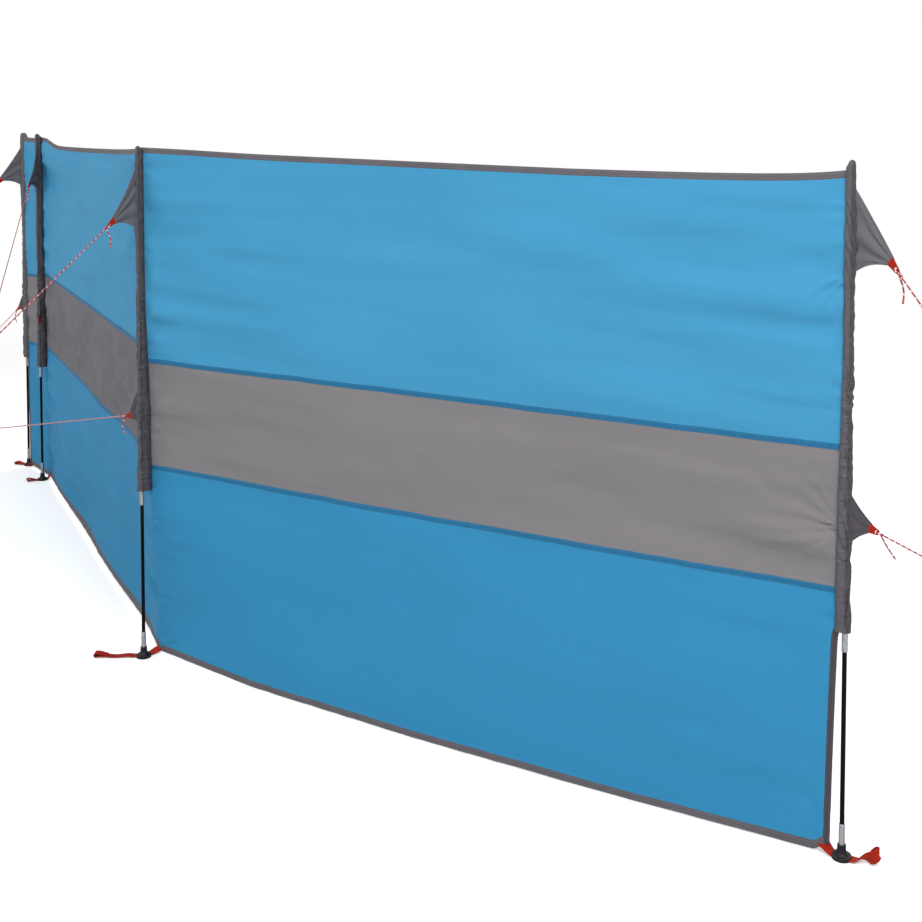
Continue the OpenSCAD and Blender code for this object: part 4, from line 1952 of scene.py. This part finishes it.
@dataclass
class Windbreak:
    """The whole windbreak: its plan, bays and poles.

    Attributes:
        bay_long: Length of the main and the side bay.
        bay_end: Length of the end bay.
        turn_corner: Turn of the cloth at the corner pole, in degrees.
        turn_far: Turn back at the far pole, in degrees.
        seam_back: Distance from a middle pole to the seam behind it.
        upper_bearings: Bearings of the upper flaps of the right, corner, far and end pole.
        lower_bearings: Bearings of their lower flaps.
        upper_outs: Distances from the poles to the pegs of the upper guys.
        lower_outs: Distances to the pegs of the lower guys, with 0 for a flap without one.
        bare_out: Distance to the peg that a flap without a guy would have.
        upper_flap: Height of an upper flap's lower end, its height and its reach.
        lower_flap: The same of a lower flap.
        tails: Swing of the tails of each pole's upper and lower guy.
    """

    bay_long: float = 2.0
    bay_end: float = 0.27
    turn_corner: float = 33.0
    turn_far: float = 10.0
    seam_back: float = 0.0266
    upper_bearings: tuple[float, ...] = (340, 268, 300, 230)
    lower_bearings: tuple[float, ...] = (50, 165, 315, 168)
    upper_outs: tuple[float, ...] = (1.2, 1.95, 1.2, 1.2)
    lower_outs: tuple[float, ...] = (1.3, 3.15, 0.0, 1.2)
    bare_out: float = 1.2
    upper_flap: Place = (1.252, 0.175, 0.092)
    lower_flap: Place = (0.680, 0.105, 0.060)
    tails: tuple[tuple[float, float], ...] = ((0.25, 0.75), (-0.35, 0.2), (0.2, 0.2), (0.2, 0.2))

    @property
    def headings(self) -> tuple[float, ...]:
        """Headings of the right, the corner, the far and the end pole, in degrees."""
        corner, end = self.turn_corner, self.turn_corner - self.turn_far
        return 0.0, corner / 2, (corner + end) / 2, end

    def bays(self) -> list[Bay]:
        """Lays out the three bays.

        Returns:
            The main, the side and the end bay.
        """
        _, half, back, end_heading = self.headings
        corner = {"drawn": 0.034, "tuck": 0.013, "peak": 0.011, "low": 0.005}
        corner_main = BayEnd(EndKind.SEAM, half, reach=0.4, **corner)
        corner_side = BayEnd(EndKind.SEAM, half, reach=0.9, **corner)
        far = BayEnd(EndKind.SEAM, back, drawn=0.010, reach=0.25, tuck=0.006)
        edge = BayEnd(EndKind.EDGE, 0.0, low=0.024, low_reach=0.036)
        long = self.bay_long
        corner_at = -self.seam_back * front(half)
        far_at = corner_at - long * along(self.turn_corner)
        end_at = far_at - self.bay_end * along(end_heading)
        main_pulls = (
            Pull(long, 0.705, 0.0050, 0.12, 21.0, 0.6, 0.15, 0.75),
            Pull(long, 1.250, 0.0060, 0.075, 17.0, 1.4, -0.75, 0.45),
            Pull(0.0, 0.70, 0.0022, 0.09, 9.0, 0.3),
            Pull(0.0, 1.20, 0.0024, 0.10, 7.0, 2.0),
            Pull(long, 0.02, 0.0024, 0.16, 12.0, 0.4, 1.0, 0.5),
            Pull(0.0, 0.02, 0.0026, 0.22, 11.0, 0.8, 0.35, 0.5),
        )
        side_pulls = (
            Pull(long, 0.71, 0.0035, 0.12, 8.0, 0.9),
            Pull(long, 1.22, 0.0030, 0.12, 6.0, 0.2),
            Pull(0.0, 0.72, 0.0035, 0.16, 7.0, 1.1),
        )
        main = Bay(
            "main", tuple(corner_at[:2]), 0.0, long, corner_main, edge,
            band=((0.562, 0.860), (0.581, 0.875)), seed=11, sag=0.006, crumple=0.0010,
            dips=(0.003, 0.012), right_drop=0.006, bulge=0.034, lift=-0.008, pulls=main_pulls,
            folding=1.15, taut_low=0.6, top_hem=0.016, bottom_hem=0.017,
        )
        side = Bay(
            "side", tuple(far_at[:2]), self.turn_corner, long, far, corner_side,
            band=((0.577, 0.880), (0.600, 0.893)), seed=37, sag=0.003, crumple=0.0080,
            dips=(0.026, 0.004), bulge=-0.012, lift=0.004, pulls=side_pulls,
            # the side band's darker finish is painted shade
            folding=1.7, top_hem=0.016, bottom_hem=0.026, band_finish=SHADED_SIDE_BAND,
        )
        end = Bay(
            "end", tuple(end_at[:2]), end_heading, self.bay_end, edge, far,
            band=((0.562, 0.850), (0.575, 0.872)), seed=59, sag=0.004, crumple=0.0016,
        )
        return [main, side, end]

    def poles(self, bays: Sequence[Bay]) -> list[Pole]:
        """Lays out the four poles.

        Args:
            bays: The bays that they hold.

        Returns:
            The right, the corner, the far and the end pole.
        """
        _, half, back, end_heading = self.headings
        main_at, side_at, end_at = (np.array([*bay.start, 0.0]) for bay in bays)
        right_at = main_at + self.bay_long * along(0)
        far_at = side_at + self.seam_back * front(back)
        names = ("right", "corner", "far", "end")
        plans = (right_at, np.zeros(3), far_at, end_at)
        kinds = (PoleKind.RIGHT_END, PoleKind.MIDDLE, PoleKind.MIDDLE, PoleKind.LEFT_END)
        straps = (
            Strap(0, 0.072, 180, 0.047, twist=-92, kick=0.014, back_lean=-45, rise=0.012),
            Strap(212, 0.138, 90 - half, 0.059, back_lean=16, rise=0.004),
            Strap(240, 0.060, 90 - back, 0.036),
            Strap(200, 0.060, -end_heading, 0.048),
        )
        sleeves = (
            Sleeve(seed=3),
            Sleeve(seed=23, flare=0.0050, girth=0.0082, reach=(0.0148, 0.0300)),
            Sleeve(seed=43, flare=0.0030, girth=0.0084, reach=(0.0215, 0.0280)),
            Sleeve(seed=63, flare=0.0010, girth=0.0130, reach=(0.0240, 0.0265)),
        )
        made = []
        for i, stand in enumerate(zip(names, plans, self.headings, kinds, straps, sleeves)):
            outs = self.upper_outs[i], self.lower_outs[i]
            drawn = outs[1] or self.bare_out
            flaps = (
                self.flap(self.upper_bearings[i], outs[0], self.upper_flap, 5 + i),
                self.flap(self.lower_bearings[i], drawn, self.lower_flap, 15 + i),
            )
            guys = tuple(Guy(*one) for one in zip(flaps, outs, self.tails[i]) if one[1])
            made.append(Pole(*stand, flaps, guys))
        return made

    @staticmethod
    def flap(bearing: float, peg_out: float, size: Place, seed: int) -> Flap:
        """Makes a flap that is drawn out towards its peg.

        Args:
            bearing: Bearing of the flap, in degrees.
            peg_out: Distance from the pole to the peg.
            size: Height of its lower end, its height, and the distance from the pole to its tip.
            seed: Seed of its folds.

        Returns:
            The flap.
        """
        level = Flap(bearing, *size, seed)
        drop, run = level.tip_z - PEG_GRIP, peg_out - level.out - level.tab_len
        return Flap(bearing, *size, seed, math.degrees(math.atan2(drop, run)))

    def build_seam(self, bays: tuple[Bay, Bay], node: str) -> None:
        """Builds the doubled cloth where two bays meet behind a middle pole, with its upper length
        in dark tape as painted shade.

        Args:
            bays: The bay on the left and the one on the right.
            node: The solid that it stands for.
        """
        left, right = bays
        low = max(float(left.bottom(np.array(left.length))), float(right.bottom(np.array(0.0))))
        high = float(right.top(np.array(0.0))) - 0.008
        change = SLEEVE_LOW + 0.015
        spans = (
            ("_cloth", low, change, LOWER_CLOTH, [node]),
            # painted shade: above the sleeve's lower end the seam takes the dark edge tape,
            # standing for the shadow beside the sleeve
            ("_tape", change, high, EDGE_TAPE, []),
        )
        for part, start, stop, finish, stands_for in spans:
            add_piece(node + part, self.seam_shape(bays, start, stop), finish, stands_for)

    def seam_shape(self, bays: tuple[Bay, Bay], start: float, stop: float) -> Shape:
        """Builds a length of the doubled cloth between two bays.

        Args:
            bays: The bay on the left and the one on the right.
            start: Height of its lower end.
            stop: Height of its upper end.

        Returns:
            The closed strip.
        """
        left, right = bays
        width, half_thickness, row_step = 0.006, 0.0014, 0.008
        z = np.linspace(start, stop, int((stop - start) / row_step) + 2)
        share = np.linspace(-1, 1, 9)[:, None]
        body = half_thickness * (1 - 0.7 * np.abs(share) ** 4)
        across, height = np.broadcast_arrays(width * share, z)
        grids = []
        for lift in (body, -body):
            one = left.surface(left.length + across[:5], height[:5], lift[:5])
            two = right.surface(across[4:], height[4:], lift[4:])
            grids.append(np.concatenate([one[:-1], (one[-1:] + two[:1]) / 2, two[1:]]))
        grids.append(np.stack([height, across], -1))
        return shell(*(np.swapaxes(grid, 0, 1) for grid in grids))

    def build(self) -> None:
        """Builds the bays, their seams and bindings, and the poles with all that they carry."""
        bays = self.bays()
        for bay in bays:
            bay.build()
        main_bay, side_bay, end_bay = bays
        self.build_seam((side_bay, main_bay), "corner_seam")
        self.build_seam((end_bay, side_bay), "far_seam")
        main_bay.build_binding("right_edge_binding")
        end_bay.build_binding("end_edge_binding")
        tabs: list[Shape] = []
        for pole in self.poles(bays):
            tabs += pole.build()
        add_piece("flap_tabs_webbing", Shape.joined(tabs), RED_WEBBING, ["flap_tabs"])
        dress_node("guy_sliders", SLIDER_PLASTIC)
        dress_node("ground_pegs", PEG_STEEL)
        main_bay.declare(["right_pole_sleeve_cloth", "corner_pole_sleeve_cloth"])
        side_bay.declare(["corner_pole_sleeve_cloth", "far_pole_sleeve_cloth"])
        end_bay.declare(["far_pole_sleeve_cloth", "end_pole_sleeve_cloth"])


@dataclass
class Studio:
    """Camera, floor and light.

    Attributes:
        eye: Place of the camera.
        pitch: How far it looks down, in degrees.
        bearing: How far it is turned to the left, in degrees.
        focal: Its focal length in image widths.
        shift: Its vertical shift in image widths.
        sky: Strength of the world's light.
        floor_half: Half of the floor's side.
        floor_glow: What the floor adds of its own where the camera sees it.
        fade: Distances between which the lit floor goes over into plain white.
    """

    eye: Place = (2.706, -2.692, 1.590)
    pitch: float = 2.912
    bearing: float = 31.17
    focal: float = 1300 / 922
    shift: float = -0.31
    sky: float = 0.36
    floor_half: float = 60.0
    floor_glow: float = 0.22
    fade: tuple[float, float] = (3.4, 6.5)

    def build(self) -> None:
        """Sets up the camera, the floor and the light."""
        self.build_camera()
        self.build_floor()
        self.build_world()
        self.lamp("key_lamp", (3.8, -3.1, 5.3), (1.0, -0.2, 0.5), 2.6, 362.0)
        self.lamp("fill_lamp", (-3.4, -1.9, 4.0), (-1.5, 0.4, 0.6), 2.6, 95.0)
        self.lamp("back_lamp", (0.5, 5.6, 5.5), (0.0, 0.9, 0.4), 4.0, 160.0)
        bpy.context.scene.view_settings.view_transform = "Standard"

    def build_camera(self) -> None:
        """Makes the camera at the photograph's viewing angle."""
        data = bpy.data.cameras.new("view_camera")
        data.sensor_width = 36.0
        data.lens = self.focal * data.sensor_width
        data.shift_y = self.shift
        data.clip_end = 500.0
        camera = bpy.data.objects.new("view_camera", data)
        camera.location = self.eye
        camera.rotation_euler = (math.radians(90 - self.pitch), 0.0, math.radians(self.bearing))
        bpy.context.scene.collection.objects.link(camera)
        bpy.context.scene.camera = camera

    def build_floor(self) -> None:
        """Makes the pale floor, which keeps the object's shadow."""
        half = self.floor_half
        corners = [(-half, -half, 0), (half, -half, 0), (half, half, 0), (-half, half, 0)]
        mesh = bpy.data.meshes.new("floor")
        mesh.from_pydata(corners, [], [(0, 1, 2, 3)])
        graph = Graph(bpy.data.materials.new("floor_finish"))
        seen = graph.wire("ShaderNodeLightPath", output="Is Camera Ray")
        glow = graph.mix(seen, BLACK, shade(WHITE, self.floor_glow))
        colour = graph.mix(graph.grain(9.0, 3.0), shade(WHITE, 0.93), shade(WHITE, 0.95))
        length = {"operation": "LENGTH"}
        away = graph.wire("ShaderNodeVectorMath", length, {0: graph.place()}, "Value")
        far = away.step(*self.fade)
        mesh.materials.append(graph.surface(
            Base_Color=graph.mix(far, colour, BLACK),
            Emission_Color=graph.mix(far, glow, WHITE),
            Emission_Strength=1.0,
            Roughness=0.9,
            Specular_IOR_Level=0.0,
        ))
        floor = bpy.data.objects.new("floor", mesh)
        bpy.context.scene.collection.objects.link(floor)

    def build_world(self) -> None:
        """Makes the white world, which is dimmer as a light than as it is seen."""
        world = bpy.data.worlds.new("studio_world")
        bpy.context.scene.world = world
        graph = Graph(world)
        path = graph.node("ShaderNodeLightPath")
        rays = ("Is Camera Ray", "Is Glossy Ray", "Is Transmission Ray")
        camera, glossy, clear = (Wire(graph, path.outputs[ray]) for ray in rays)
        seen = camera.math("MAXIMUM", glossy).math("MAXIMUM", clear)
        strength = graph.wire("ShaderNodeMapRange", None, {0: seen, 3: self.sky, 4: 1.0})
        light = graph.wire("ShaderNodeBackground", None, {"Color": WHITE, "Strength": strength})
        graph.node("ShaderNodeOutputWorld", None, {"Surface": light})

    @staticmethod
    def lamp(name: str, at: Place, target: Place, size: float, power: float) -> None:
        """Makes one square soft lamp.

        Args:
            name: Its name.
            at: Its place.
            target: What it faces.
            size: Its side.
            power: Its power in watts.
        """
        data = bpy.data.lights.new(name, "AREA")
        data.shape = "SQUARE"
        data.size = size
        data.energy = power
        lamp = bpy.data.objects.new(name, data)
        lamp.location = at
        lamp.rotation_euler = (Vector(target) - Vector(at)).to_track_quat("-Z", "Y").to_euler()
        lamp.visible_camera = False
        bpy.context.scene.collection.objects.link(lamp)


def main() -> None:
    """Builds the windbreak and its studio."""
    logging.basicConfig(level=logging.INFO, format="%(message)s")
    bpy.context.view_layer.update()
    Studio().build()
    Windbreak().build()
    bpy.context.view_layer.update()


if __name__ == "__main__":
    main()
